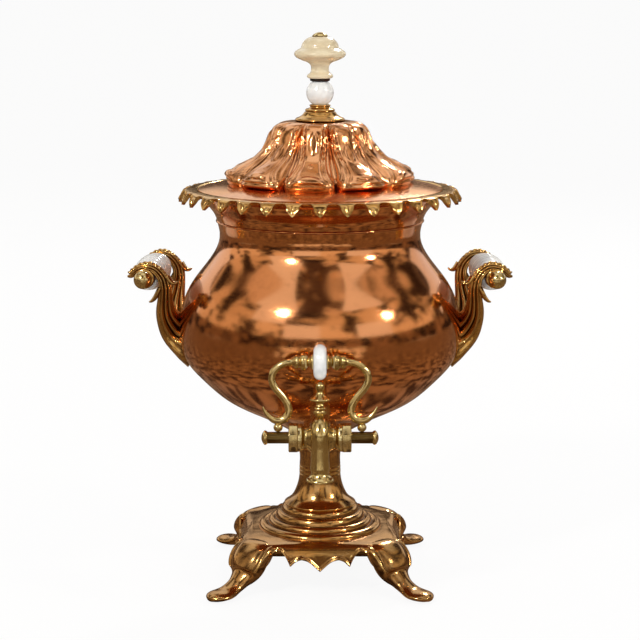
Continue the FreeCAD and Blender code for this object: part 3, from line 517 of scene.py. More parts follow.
def metal_finish(name, clean, aged_and_shade, rubbed_and_highlight, rough, aged_rough, tarnish, scale, hollow_shade, wear_and_highlight,
                 dents, dent_scale, lines=0.04):
    """A polished, aged metal with painted shade in its hollows and a painted highlight on its
    edges. Its clean colour comes as the sockets take it.
    """
    tree, shader, colour, shine = patina_and_shade_material(
        name, clean, aged_and_shade, rough, aged_rough, Scale=scale, Amount=tarnish, Hollows=hollow_shade)
    # Convex edges take the rubbed colour: wear, and a painted highlight on them.
    edges = add_group(tree, "edge_wear_and_highlight", Body=colour, Rubbed=linear(*rubbed_and_highlight), Amount=wear_and_highlight)
    marks = add_group(tree, "hand_marks", Dent_Scale=dent_scale, Dents=dents, Lines=lines)
    streaks = sum_of(tree, "MULTIPLY", marks["Lines"], 0.06)
    feed(tree, shader, Metallic=1.0, Base_Color=edges["Color"],
         Roughness=sum_of(tree, "ADD", shine, streaks),
         Normal=bump(tree, marks["Height"], 0.6, 0.0006))


def glazed_finish(name, clean, aged_and_shade, rough, coat, speckle, tarnish):
    """Glazed porcelain or polished bone with small specks, and painted shade in its grooves."""
    tree, shader, colour, shine = patina_and_shade_material(
        # The hollows' darkening here is painted shade in the grooves and recesses.
        name, clean, aged_and_shade, rough, rough + 0.2, Scale=60.0, Amount=tarnish, Hollows=0.8)
    pits = noise(tree, Vector=object_places(tree), Detail=6.0, Scale=520.0)
    feed(tree, shader, Base_Color=colour, Roughness=shine, Coat_Weight=coat, Coat_Roughness=0.06,
         Normal=bump(tree, pits, speckle, 0.0003))


def dull_finish(name, clean, aged_and_shade, rough, metallic, scale):
    """Leather and bare iron, with painted shade in their hollows."""
    tree, shader, colour, shine = patina_and_shade_material(
        # The hollows' darkening here is painted shade in the hollows.
        name, clean, aged_and_shade, rough, rough + 0.18, Scale=scale, Amount=0.7, Hollows=0.6)
    marks = add_group(tree, "hand_marks", Dent_Scale=400.0, Dents=0.6, Lines=0.3)
    feed(tree, shader, Metallic=metallic, Base_Color=colour, Roughness=shine,
         Normal=bump(tree, marks["Height"], 0.5, 0.0004))


# Cast and raised metals: clean, aged and rubbed colours, the aged one also painting shade in
# hollows and the rubbed one also painting a highlight on edges; how much rougher than the polish,
# roughness when aged, then tarnish, its scale, painted shade in hollows, edge wear with painted
# highlight, dents and the dents' scale
METALS = {
    "lid_copper": ((236, 170, 118), (136, 74, 40), (252, 208, 160), 0.05, 0.3,
                   0.3, 24.0, 1.0, 0.7, 0.4, 40.0),
    "foot_bronze": ((190, 144, 88), (78, 50, 24), (246, 206, 134), 0.04, 0.32,
                    0.5, 26.0, 1.0, 0.9, 0.7, 60.0),
    "bracket_bronze": ((206, 160, 92), (72, 42, 16), (250, 216, 144), 0.04, 0.32,
                       0.55, 34.0, 1.0, 0.9, 0.7, 80.0),
    "border_brass": ((218, 172, 104), (96, 58, 24), (250, 218, 150), 0.05, 0.34,
                     0.35, 40.0, 1.0, 0.9, 0.8, 90.0),
}


def make_finishes():
    """Builds the shared groups and every finish of the urn."""
    urn = bpy.context.scene.tea_urn
    make_tarnish_and_shade_group()
    make_edge_wear_and_highlight_group()
    make_hand_marks_group()
    # Each metal's aged colour also paints shade in its hollows, and its rubbed colour paints a
    # highlight on its edges.
    metal_finish("bowl_copper", (*urn.copper_colour, 1.0), (158, 90, 46), (248, 194, 140),
                 urn.polish, 0.26, 0.3, 9.0, 0.5, 0.4, 1.0, 16.0)
    metal_finish("tap_brass", (*urn.brass_colour, 1.0), (98, 76, 38), (252, 238, 184),
                 urn.polish + 0.05, 0.3, 0.3, 45.0, 1.0, 0.7, 0.8, 90.0)
    for name, (clean, aged_and_shade, rubbed_and_highlight, rougher, *rest) in METALS.items():
        metal_finish(name, linear(*clean), aged_and_shade, rubbed_and_highlight, urn.polish + rougher, *rest)
    metal_finish("steel", linear(176, 174, 168), (96, 90, 80), (220, 218, 212), 0.28, 0.5,
                 0.5, 60.0, 0.6, 0.6, 0.5, 160.0, lines=0.2)
    dull_finish("iron", linear(64, 60, 58), (96, 56, 36), 0.5, 1.0, 70.0)
    dull_finish("leather", linear(112, 70, 40), (60, 36, 20), 0.6, 0.0, 160.0)
    glazed_finish("white_porcelain", linear(240, 243, 244), (150, 158, 164), 0.14, 0.6, 0.05,
                  0.28)
    glazed_finish("cream_bone", linear(230, 216, 184), (176, 148, 104), 0.24, 0.35, 0.25, 0.5)


class TeaUrnSettings(bpy.types.PropertyGroup):
    """The sizes and colours of the urn that a user would change."""
    copper_colour: FloatVectorProperty(
        name="Copper", description="Colour of the clean copper", subtype="COLOR",
        size=3, min=0.0, max=1.0, default=linear(224, 152, 100)[:3])
    brass_colour: FloatVectorProperty(
        name="Brass", description="Colour of the tap's clean brass", subtype="COLOR",
        size=3, min=0.0, max=1.0, default=linear(216, 190, 130)[:3])
    polish: FloatProperty(
        name="Polish", description="Roughness of the cleanest metal", subtype="FACTOR",
        min=0.02, max=0.6, default=0.1)
    lobes: IntProperty(
        name="Lid lobes", description="How many lobes the lid has", min=6, max=16, default=10)
    drops: IntProperty(
        name="Border drops", description="How many drops hang from the border",
        min=16, max=60, default=34)
    spin_columns: IntProperty(
        name="Turned columns", description="Faces round the turned body", min=48, max=256,
        default=160)
    wall: FloatProperty(
        name="Lid wall", description="Wall of the raised lid", subtype="DISTANCE",
        unit="LENGTH", min=0.0005, max=0.003, default=0.001)


# The body

BOWL_WALL = 1.4
BOWL_FLOOR_WALL = 3.0
INNER_LIFT = 0.6
FIRST_INNER_PLACE = 2
BOWL_RUNS = (
    ((20.5, 0), (48.3, 15.5), (78.4, 31.6), (96.6, 48), (109.4, 64), (113.5, 86), (103, 123.5),
     (80.4, 164.5), (82.2, 173)),
)
NECK_RUNS = (
    ((81, 0), (82.4, 0)), ((83.4, 0.9), (82.6, 2)),
    ((84.4, 6.7), (91.4, 16.2), (96.4, 22.5), (103, 23.7)), ((103, 24.9),), ((93.5, 24.9),),
    ((91.5, 23.5), (88.6, 16.2), (82.8, 6.7), (81, 0)),
)


def bowl_outline():
    """The section of the bowl: up its outside, over the neck's seam and down its inside."""
    outside = outline(BOWL_BOTTOM, BOWL_RUNS, 10)
    inside = [(max(r - BOWL_WALL, 0.0), z + INNER_LIFT)
              for r, z in reversed(outside[FIRST_INNER_PLACE:])]
    return [(0.0, BOWL_BOTTOM)] + outside + inside + [(0.0, BOWL_BOTTOM + BOWL_FLOOR_WALL)]


class URN_OT_body(bpy.types.Operator):
    """Spin the copper bowl and its flared neck"""
    bl_idname = "urn.body"
    bl_label = "Bowl and neck"

    def execute(self, context):
        columns = context.scene.tea_urn.spin_columns
        bowl = turned_piece("bowl_shell", bowl_outline(), columns)
        finished(bowl, "bowl_copper", "vessel", "vessel_bowl")
        neck = turned_piece("neck_shell", outline(CREASE, NECK_RUNS, 8), columns)
        finished(neck, "bowl_copper", "vessel", "vessel_neck")
        return {"FINISHED"}


# The border of the mouth

BORDER_INNER = ((97.6, 0), (97.6, 1.4), (98.6, 2), (100.2, 1.8), (103, 1.7), (105.6, 1.4))
BORDER_FALL = through([
    (105.6, 1.4), (108.2, 0.4), (110.2, -2.2), (111.4, -5.4), (112.2, -8.9),
], 8)
BORDER_UNDER = through([
    (103.4, -1.2), (106.2, -1.4), (108.2, -3.4), (109.6, -5.9), (110.5, -8.6),
], 8)
FALL_STEPS = 14
FACES_PER_DROP = 34
ARCH_HALF = 0.27
ARCH_TOP, ARCH_FOOT, DROP_END = 0.08, 0.50, 0.98
LIP_HEIGHT = 1.1
BUD_RADIUS, BUD_HALF, BUD_LEVEL = 2.3, 0.085, 0.7
OUT_SHARE, UP_SHARE = 0.72, 0.5


def border_reach(phase):
    """How far the border falls at a share of a drop's pitch: an arch, then a blunt point."""
    aside = 0.5 - abs(phase)
    if aside < ARCH_HALF:
        fall = 1 - math.sqrt(1 - (aside / ARCH_HALF) ** 2)
        return ARCH_TOP + (ARCH_FOOT - ARCH_TOP) * fall
    share = (aside - ARCH_HALF) / (0.5 - ARCH_HALF)
    return ARCH_FOOT + (DROP_END - ARCH_FOOT) * share ** 0.6


def border_rise(is_bud, phase, share, reach):
    """The relief of the border: a rolled lip with buds and ribs in turn."""
    lip = LIP_HEIGHT * ease(0.62, 0.86, share / reach) * ease(0.0, 0.2, share)
    if is_bud:
        pocket = hump(phase, 0.1) * hump(share - 0.66, 0.2)
        inside = 1 - (phase / BUD_HALF) ** 2 - ((share - BUD_LEVEL) / 0.2) ** 2
        return lip * (1 - pocket) - 0.5 * pocket + BUD_RADIUS * max(inside, 0.0) ** 0.5
    return max(lip, 1.2 * hump(phase, 0.045) * ease(0.2, 0.6, share))


def border_place(drops):
    """The surface of the border: flat within, arched and hung with drops at its edge."""
    inner = len(BORDER_INNER)

    def place(u, v):
        number = round(u * drops)
        phase = u * drops - number
        reach = border_reach(phase)
        row = v * (inner + 2 * FALL_STEPS + 2)
        if row < inner - 0.5:
            r, z = BORDER_INNER[round(row)]
        elif row < inner + FALL_STEPS + 0.5:
            share = reach * (row - inner + 1) / (FALL_STEPS + 1)
            r, z = along(BORDER_FALL, share)
            rise = border_rise(number % 2 == 0, phase, share, reach)
            r += rise * OUT_SHARE
            z += rise * UP_SHARE
        elif row < inner + 2 * FALL_STEPS + 1.5:
            share = reach * (inner + 2 * FALL_STEPS + 2 - row) / (FALL_STEPS + 1)
            r, z = along(BORDER_UNDER, share)
        else:
            r, z = BORDER_INNER[0]
        angle = 2 * math.pi * u - math.pi / 2
        return (*polar(r, angle), MOUTH + z)

    return place


class URN_OT_border(bpy.types.Operator):
    """Shape the cast border with its arches and drops"""
    bl_idname = "urn.border"
    bl_label = "Mouth border"

    def execute(self, context):
        drops = context.scene.tea_urn.drops
        rows = len(BORDER_INNER) + 2 * FALL_STEPS + 2
        border = draped_piece("mouth_border", drops * FACES_PER_DROP, rows, border_place(drops),
                              ends=False)
        finished(border, "border_brass", "vessel", "rim_border", 60.0)
        return {"FINISHED"}


# The lid

LOBE_LINE = through([
    (71.6, 5), (73, 6.4), (74.4, 8.4), (75, 10.6), (74.9, 12.6), (73.9, 14.8), (71.6, 17.2),
    (67.4, 20), (61.4, 22.9), (55.5, 25.8), (50.6, 29), (46, 33.6), (42.6, 38.6), (40.6, 43.6),
    (38.8, 48.2), (35.6, 52), (30.5, 54.4), (25, 55.1), (20, 55.2),
], 4)
VALLEY_LINE = through([
    (62.4, 5), (62.6, 6.4), (62.6, 8.4), (62.2, 10.6), (61.2, 12.6), (59.6, 14.8), (57.2, 17.2),
    (54, 20), (50.6, 22.9), (47.6, 25.8), (44.6, 29), (41, 33.6), (38, 38.6), (35.8, 43.6),
    (33.2, 48.2), (30.2, 51.6), (27.4, 53.8), (24, 54.9), (20, 55.2),
], 4)
PANEL_LINE = through([
    (5, 15.6), (10, 15.2), (14, 13.2), (18, 10.8), (23, 9.2), (29, 9.6), (36, 11), (43, 12.6),
    (49, 13.6), (55.3, 13.8),
], 6)
FLANGE_RUNS = (
    ((60, 6.2), (74, 6), (86, 4.2), (94, 2.4), (97.1, 1.6)), ((97.1, 0.1),), ((93.2, 0.1),),
    ((86, 2.9), (74, 4.8), (60, 5)), ((60, 6.2),),
)
# The panel's half angles are those of ten lobes, whose half pitch this is
PANEL_HALF_PITCH = 18.0
LOBE_TURN = -7.0
FACES_PER_LOBE = 48
LID_ROWS = 96
RIDGES = 2.5
RIDGE_HEIGHT = 1.7
RIM_HEIGHT = 1.1
RIM_GROOVE = 1.0
VALLEY_SHARE = 0.7

# Raised ovals of the two kinds of lobe: level, half height, half angle and relief
PLAIN_OVALS = ((41, 9.4, 5.8, 1.7), (24.6, 1.5, 2.3, 0.9))
ROLLED_OVALS = ((33, 7, 4.8, 1.5), (23.2, 1.3, 2.1, 0.9), (17.4, 2.6, 7, 1.5))


def oval(aside, rise, half_angle, level, half_height):
    """A raised oval: 1 over its middle, 0 outside."""
    inside = 1 - (aside / half_angle) ** 2 - ((rise - level) / half_height) ** 2
    return ease(0.0, 0.75, inside)


def lid_place(lobes):
    """The raised lid: broad lobes with bosses, and valleys with flowing ridges."""
    pitch = 360.0 / lobes
    half = pitch / 2

    def place(u, v):
        lobe = math.floor(u * lobes)
        aside = pitch * (u * lobes - lobe - 0.5)
        crest, rise = along(LOBE_LINE, v)
        valley, valley_rise = along(VALLEY_LINE, v)
        panel = read_line(PANEL_LINE, rise) * half / PANEL_HALF_PITCH
        out = abs(aside)
        beyond = max((out - panel) / (half - panel), 0.0)
        within = min(out / panel, 1.0)
        fill = 1 - (1 - VALLEY_SHARE) * within ** 4
        if out > panel:
            fill = VALLEY_SHARE * (1 - ease(0.0, 1.0, beyond))
        radius = valley + (crest - valley) * fill
        height = valley_rise + (rise - valley_rise) * fill
        flow = ease(8.0, 16.0, rise) * ease(55.0, 51.0, rise)
        wave = math.sin(math.pi * beyond * RIDGES) ** 2
        rim = RIM_HEIGHT * hump(within - 0.93, 0.06) - RIM_GROOVE * hump(within - 0.8, 0.07)
        radius += (RIDGE_HEIGHT * wave + rim) * flow
        for level, half_height, half_angle, relief in (ROLLED_OVALS if lobe % 2 else PLAIN_OVALS):
            radius += relief * oval(aside, rise, half_angle, level, half_height)
        if lobe % 2:
            roll = 1.5 * hump(rise - 9.4, 1.5) + 0.9 * hump(rise - 13.0, 0.9)
            undercut = 2.6 * hump(rise - 5.2, 1.6)
            radius += (roll - undercut) * (1 - beyond) * fill
        else:
            crescent = oval(aside, rise + (aside / 10) ** 2 * 3.0, 11.0, 15.2, 3.2)
            radius += 1.8 * crescent
            height += 0.9 * crescent
        angle = math.radians(pitch * lobe + aside - 90.0 + LOBE_TURN)
        return (*polar(radius, angle), MOUTH + height)

    return place


class URN_OT_lid(bpy.types.Operator):
    """Raise the lobed lid and its flange"""
    bl_idname = "urn.lid"
    bl_label = "Lid"

    def execute(self, context):
        urn = context.scene.tea_urn
        dome = draped_piece("lid_lobes", urn.lobes * FACES_PER_LOBE, LID_ROWS,
                            lid_place(urn.lobes), ends=False)
        thickened(dome, urn.wall / MM)
        finished(dome, "lid_copper", "lid", "lid_dome", 70.0)
        flange = turned_piece("lid_flange", outline(MOUTH, FLANGE_RUNS, 6), urn.spin_columns)
        finished(flange, "lid_copper", "lid", "lid_dome")
        return {"FINISHED"}


# The knob on the lid

COLLAR_RUNS = (
    ((2.1, 0), (18.6, 0)), ((19.8, 1.3), (18.6, 2.6)), ((17.2, 3),), ((14.2, 4.9), (12.4, 7.2)),
    ((11.4, 7.6),), ((11.9, 8.8), (10.9, 9.8)),
    ((9.2, 10.2), (7.9, 11.6), (8.6, 12.6), (7.6, 13)), ((2.1, 13),), ((2.1, 0),),
)
BUTTON_RUNS = (
    ((2.1, 0), (8.8, 0)), ((10.2, 1), (10.2, 2.4), (8.8, 3.6)),
    ((7.4, 5.2), (7, 7.6), (7.4, 10), (8.8, 11.8), (12.8, 13.6), (17.4, 15.6), (19.9, 17.6),
     (20.4, 19.4), (19.2, 21.4), (16.6, 23), (15.2, 23.8)), ((14.9, 24.4),),
    ((14.2, 26.8), (12.4, 29.4), (10, 31.4), (7.6, 32.4)), ((6, 32.6), (2.1, 32.6)), ((2.1, 0),),
)


class URN_OT_knob(bpy.types.Operator):
    """Turn the collar and the button of the lid's knob"""
    bl_idname = "urn.knob"
    bl_label = "Lid knob"

    def execute(self, context):
        collar = turned_piece("collar_turned", outline(LID_TOP, COLLAR_RUNS, 5), 72)
        finished(collar, "border_brass", "lid", "knob_collar")
        button = turned_piece("button_turned", outline(BUTTON_LOW, BUTTON_RUNS, 5), 80)
        finished(button, "cream_bone", "lid", "knob_button")
        return {"FINISHED"}


# The base and its feet

LIP_LINE = through([
    (0, 19.3), (0, 19.3), (4.5, 23.6), (9.5, 27.6), (14.5, 29.2), (14.5, 29.2), (19, 27.6),
    (23.3, 23.7), (23.3, 23.7), (26.4, 31), (32.2, 36.4), (36, 34.6), (40, 28), (44, 22.5),
    (56, 22),
], 8)
BASE_HALF = 66.6
CORNER_POWER = 5.6
WAIST_DEPTH, WAIST_HALF = 1.6, 24.0
WELL_RADIUS, TOP_RADIUS = 47.0, 52.0
RING_RUNS = (
    ((44, -3), (50.2, -0.9)), ((49.9, 0.9), (47.8, 2.7), (45, 3.1), (43, 2.3)), ((42.4, 2.6),),
    ((42.2, 4.4), (40.6, 6.2), (38.6, 6.7), (37.2, 6.3)), ((36.6, 6.8),),
    ((36, 9.2), (34.2, 11.4), (32.4, 11.8)), ((31.8, 12.3),),
    ((31.4, 14.8), (30.2, 16.4), (28.6, 17.5)), ((4, 17.5),), ((4, 14),), ((26, 14),),
    ((34, 2.5),), ((44, -3),),
)
STEM_RUNS = (
    ((13, 0), (28.6, 0)), ((29.2, 0.9), (28.2, 1.8)),
    ((23.4, 5.6), (19.8, 12), (17.4, 20), (16.8, 24.8)), ((16.2, 25.5), (16.9, 26.2)),
    ((16.9, 28),), ((16.2, 28.8), (16.8, 29.5)), ((16.8, 31.3),), ((16.1, 32.1), (16.7, 32.8)),
    ((16.5, 40), (17.4, 46.6)), ((20.4, 48.2), (21, 50.4), (19, 53), (18.2, 54)),
    ((19.4, 56.6), (20.5, 59.5)), ((13, 59.5),), ((13, 0),),
)


def base_edge(angle):
    """The plan of the base in one direction: a square with round corners and waisted sides."""
    cosine, sine = abs(math.cos(angle)), abs(math.sin(angle))
    reach = BASE_HALF / (cosine ** CORNER_POWER + sine ** CORNER_POWER) ** (1 / CORNER_POWER)
    return reach - WAIST_DEPTH * hump(min(cosine, sine) * reach, WAIST_HALF)


def base_place(u, v):
    """The cast base: a swept top, a broad shoulder and aprons with a rolled lip."""
    angle = 2 * math.pi * u
    edge = base_edge(angle)
    flat = min(abs(math.cos(angle)), abs(math.sin(angle)))
    lip = read_line(LIP_LINE, flat * edge)
    corner = ease(0.45, 0.7, flat)
    top = PLATE_TOP
    rows = (
        (WELL_RADIUS, top - 1.4), (49.6, top - 0.6), (TOP_RADIUS, top - 0.4),
        (TOP_RADIUS + (edge - TOP_RADIUS) * 0.3, top - 0.5), (edge - 8.0, top - 1.2 - corner),
        (edge - 4.6, top - 2.4 - 1.4 * corner), (edge - 2.2, top - 4.6 - 1.6 * corner),
        (edge - 0.9, top - 7.4 - corner), (edge - 0.4, min(lip + 6.0, top - 9.0)),
        (edge - 0.2, lip + 3.2), (edge + 0.3, lip + 2.4), (edge + 1.5, lip + 2.1),
        (edge + 2.1, lip + 1.0), (edge + 1.3, lip), (edge - 0.6, lip - 0.3),
        (edge - 2.4, lip + 0.4), (edge - 3.4, lip + 2.0),
        (edge - 3.8, min(lip + 8.0, top - 6.4)), (edge - 5.4, top - 5.6),
        (edge - 9.0, top - 4.6), (WELL_RADIUS, top - 3.6),
    )
    r, z = along(rows, v)
    return (*polar(r, angle), z)


LEG_STATIONS = (
    (60, 36, 2, 12), (67, 36.4, 3.6, 16.6), (72.4, 34.4, 5.8, 19), (76.4, 30, 8, 19.4),
    (79.4, 25, 9.2, 19), (81.6, 20.4, 9.2, 17.8), (83.6, 16.8, 8.6, 15.6),
    (86.4, 14.2, 7.4, 12.2), (89.6, 12, 6.4, 9.8), (93, 9.6, 5.6, 8.6), (97.2, 7.4, 5, 8.4),
    (102, 5.4, 4.4, 9.4), (107.6, 4.4, 3.8, 10.8), (113.6, 4.2, 3.6, 10.6), (118.6, 3.8, 3, 8.2),
    (122, 3.2, 1.8, 3.6),
)
CORNERS = {"front_left": (-1, -1), "front_right": (1, -1),
           "back_left": (-1, 1), "back_right": (1, 1)}


def leg_section(angle, v):
    """Rounded in front with a rolled edge on both sides of the knee, and flatter behind."""
    in_plane, sideways = polar(1.0, angle)
    knee = ease(0.0, 0.1, v) * ease(0.5, 0.36, v)
    boxy = 0.86 + 0.14 * (1 - knee)
    wide = math.copysign(abs(sideways) ** boxy, sideways)
    if in_plane > 0:
        return in_plane * (1 - 0.45 * knee), wide
    roll = hump(abs(sideways) - 0.9, 0.09) - 0.6 * hump(abs(sideways) - 0.7, 0.12)
    return in_plane * (1 + 0.1 * knee) - 0.22 * roll * knee, wide


def foot_piece(name, signs):
    """One cabriole foot, out towards its corner and flat where it stands."""
    out = Vector((*signs, 0)).normalized()
    side = Vector((0, 0, 1)).cross(out)
    stations = [(out.x * d, out.y * d, z, deep, wide) for d, z, deep, wide in LEG_STATIONS]
    leg = horn_piece(name, stations, 56, 90, side, leg_section)
    for vertex in leg.data.vertices:
        vertex.co.z = max(vertex.co.z, 0.0)
    return leg


class URN_OT_base(bpy.types.Operator):
    """Shape the cast base, its rings, its stem and its four feet"""
    bl_idname = "urn.base"
    bl_label = "Base and feet"

    def execute(self, context):
        casting = draped_piece("base_casting", 480, 60, base_place, ends=False)
        finished(casting, "foot_bronze", "vessel", "base_plate", 50.0)
        rings = turned_piece("base_rings", outline(PLATE_TOP, RING_RUNS, 6), 128)
        finished(rings, "foot_bronze", "vessel", "base_plate")
        stem = turned_piece("stem_turned", outline(BOSS_TOP, STEM_RUNS, 5), 96)
        finished(stem, "foot_bronze", "vessel", "pedestal_stem")
        for corner, signs in CORNERS.items():
            leg = foot_piece("leg_" + corner, signs)
            finished(leg, "foot_bronze", "vessel", "foot_" + corner, 60.0)
        return {"FINISHED"}


# The side handles

ARM_STATIONS = (
    (95.5, 191, 9, 22, 19), (106, 197, 9.5, 19.5, 19), (113.8, 201.6, 10, 15.6, 18.6),
    (119, 208.5, 15, 11.4, 14), (121.6, 218.8, 23, 8.4, 9.8), (121.2, 228.3, 30, 6.6, 7.6),
    (120.4, 237.8, 34.6, 5.4, 6.2), (121, 245.8, 36, 4.9, 5.6), (124.6, 252.6, 36, 4.4, 5.4),
    (130.4, 256.8, 36, 3.7, 5.2), (137.4, 256.9, 36, 3.2, 4.8), (144, 253.4, 36, 2.7, 3.9),
    (147.6, 250.2, 36, 1.9, 2.8), (150.1, 249.8, 36, 0.8, 1.3),
)
ROPE_LINE = (
    (148.6, 252), (144.6, 255.8), (139, 259.2), (133, 260.2), (127.4, 258.2), (122.8, 254.2),
    (119.2, 249.8), (116.4, 246.8),
)
INNER_LEAF = (
    (118.6, 250.4, 2.6, 4.4), (116, 246.6, 2.2, 4.2), (113.4, 244.8, 1.6, 3.4),
    (110.8, 245.2, 1, 2.2), (109.6, 246.4, 0.5, 1),
)
OUTER_LEAF = (
    (124, 241, 2.2, 3.8), (126.2, 236.4, 2.2, 4), (128.6, 232.6, 1.8, 3.4),
    (131.4, 230, 1.2, 2.4), (133.2, 229.4, 0.5, 1),
)
FLUTES, FLUTE_DEPTH = 10, 0.26
ROPE_TURNS, ROPE_DEEP, ROPE_WIDE = 11, 1.7, 2.3
EYE_RADIUS, EYE_LENGTH, EYE_EDGE = 8.0, 9.6, 1.2
GRIP_HALF = 30.5
GRIP_RIBS = 9
GRIP_END_RADIUS = 10.4
GRIP_SWELL = 3.4
GRIP_GROOVE = 1.3


def arm_section(angle, v):
    """Long flutes round the arm, shallow where it starts and ends."""
    depth = FLUTE_DEPTH * ease(0.0, 0.1, v) * ease(1.0, 0.8, v)
    grow = 1 - depth * (0.5 - 0.5 * math.cos(FLUTES * angle)) ** 1.8
    return polar(grow, angle)


def rope_section(angle, v):
    """Two strands that wind round each other."""
    grow = 1 + 0.2 * math.cos(2 * angle - v * 2 * math.pi * ROPE_TURNS)
    return polar(grow, angle)


def bracket_piece(name):
    """The left bracket: two fluted arms, each with a twisted crest, curled leaves and an eye."""
    side = Vector((0, 1, 0))
    rope = [(r, z, ARM_PLACE, ROPE_DEEP, ROPE_WIDE) for r, z in ROPE_LINE]
    leaves = [[(r, z, ARM_PLACE, deep, wide) for r, z, deep, wide in leaf]
              for leaf in (INNER_LEAF, OUTER_LEAF)]
    horns = [("arm", ARM_STATIONS, 100, 120, arm_section), ("rope", rope, 24, 170, rope_section)]
    horns += [("leaf", leaf, 24, 24, round_section) for leaf in leaves]
    shells = []
    for way in (-1, 1):
        for label, places, columns, rows, section in horns:
            stations = [(-r, way * y, z, deep, wide) for r, z, y, deep, wide in places]
            shells.append(horn_piece(label, stations, columns, rows, side, section))
        eye_place = (-GRIP_REACH, way * ARM_PLACE, GRIP_HEIGHT)
        shells.append(eased_cylinder(48, EYE_RADIUS, EYE_LENGTH, eye_place,
                                     (math.pi / 2, 0, 0), EYE_EDGE))
    return joined(name, shells)


def grip_place(u, v):
    """The left grip: a barrel of rounded ribs round the rod, thickest in the middle."""
    rib = abs(math.sin(math.pi * GRIP_RIBS * v))
    radius = GRIP_END_RADIUS + GRIP_SWELL * math.sin(math.pi * v) - GRIP_GROOVE * (1 - rib) ** 2
    aside, up = polar(radius, 2 * math.pi * u)
    return aside - GRIP_REACH, GRIP_HALF * (2 * v - 1), GRIP_HEIGHT + up


def finished_pair(left, name, finish, node):
    """Mirrors a left piece, turns both of the pair to their places and finishes them."""
    right = mirrored(left, name + "_right")
    for piece, side, turn in ((left, "_left", -HANDLE_TURN), (right, "_right", HANDLE_TURN)):
        moved_about_axis(piece, Matrix.Rotation(math.radians(turn), 4, "Z"))
        finished(piece, finish, "vessel", node + side, 60.0)


class URN_OT_handles(bpy.types.Operator):
    """Shape the cast brackets and the ribbed grips of both handles"""
    bl_idname = "urn.handles"
    bl_label = "Side handles"

    def execute(self, context):
        bracket = bracket_piece("bracket_left")
        finished_pair(bracket, "bracket", "bracket_bronze", "handle_bracket")
        grip = draped_piece("grip_left", 64, GRIP_RIBS * 10, grip_place)
        finished_pair(grip, "grip", "white_porcelain", "handle_grip")
        return {"FINISHED"}


# The tap and its lever

BARREL_RUNS = (
    ((0, -15.4), (10.4, -15.4)), ((10.4, -13.8),),
    ((8.5, -11.4), (10.6, -7.4), (12.3, -3), (12.5, 0), (12.3, 3), (10.6, 7.4), (8.5, 11.4),
     (10.4, 13.8)), ((10.4, 15.4),), ((0, 15.4),),
)
TAP_NECK_RUNS = (
    ((0, 0), (11.4, 0)), ((10.4, 7), (7.4, 11), (4.6, 13.6), (3.8, 15)), ((3.8, 15.6),),
    ((0, 15.6),),
)
FINIAL_RUNS = (
    ((0, -0.4), (4, -0.4)), ((4, 1.2),), ((3.4, 1.8),),
    ((4.6, 2.8), (5, 4.2), (4.4, 5.6), (3.4, 6.2)), ((4.6, 7.4), (3.4, 8.8)),
    ((2.7, 10.6), (3.4, 12), (6.2, 13), (7.8, 13.4)), ((8.1, 14.2), (7.4, 15)),
    ((4.2, 17), (2.6, 19), (2.3, 20.4)), ((3.4, 22), (3.6, 23.6), (2.8, 25.8), (1.4, 26.6),
     (0, 26.9)),
)
LEVER_BEADS = (
    (2, 4.7), (2, 5), (2, 5), (5.2, 5), (5.2, 5), (5.6, 5.8), (5.2, 6.8), (3.8, 7.8), (3.6, 8.6),
    (3.6, 8.6), (4.8, 9.6), (6, 11), (6.3, 12.4), (5.9, 13.8), (4.6, 15), (4.2, 15.6),
    (4.2, 15.6), (5, 16.6), (5, 17.8), (4.2, 19), (3, 20.2), (2.5, 21.4), (2.5, 21.4), (0, 21.4),
)
SPOUT_ELBOW = (
    (-118, 147, 8.2, 0), (-126, 151.4, 8, 0), (-133.6, 154.8, 7.6, 0), (-140.4, 154.6, 7.2, 0),
    (-144.4, 150.2, 6.9, 0),
)
SPOUT_PIPE = (
    (143.6, 6.8, 0), (134, 6.9, 0.1), (126, 7.2, 0.1), (123, 7.2, 0.1), (121.4, 6.6, 0.1),
    (119.6, 6.9, 0), (117.2, 8.8, 0), (115.6, 10.3, 0), (114.6, 10.4, 0),
)
SPOUT_LINE = through([*SPOUT_ELBOW, *((-SPOUT_REACH, *place) for place in SPOUT_PIPE)], 8)
SPOUT_SECTOR = math.pi / 4
INLET_STATIONS = (
    (79, 160, 9), (83, 156.6, 8.4), (85.6, 154.4, 8), (88.2, 152, 7.6), (90.4, 150.2, 7.2),
    (95, 147.2, 6.6), (102, 145.2, 6.4), (112, 144.2, 7), (122, 144, 8.6), (128, 144, 9),
)
SCROLL_STATIONS = (
    (18, 57.6, 2), (21, 57.7, 2.5), (25.6, 57, 2.6), (30.6, 54.6, 2.7), (34.6, 50.4, 2.8),
    (35.9, 45, 2.9), (34, 39.2, 2.9), (29.6, 33.6, 2.8), (25.2, 27.6, 2.8), (23.3, 21.6, 2.9),
    (24.6, 16.6, 3), (28.4, 13.6, 3), (33.4, 13.4, 2.8), (37.8, 16, 2.2), (41, 20, 1.5),
    (42.8, 23.6, 0.6),
)
NUT_PLACE, NUT_RADIUS, NUT_LENGTH, NUT_EDGE = 20.0, 11.2, 7.2, 0.9
STAND_PLACE, STAND_RISE, STAND_RADIUS = 31.4, 7.9, 3.5
FINIAL_RISE = 15.6


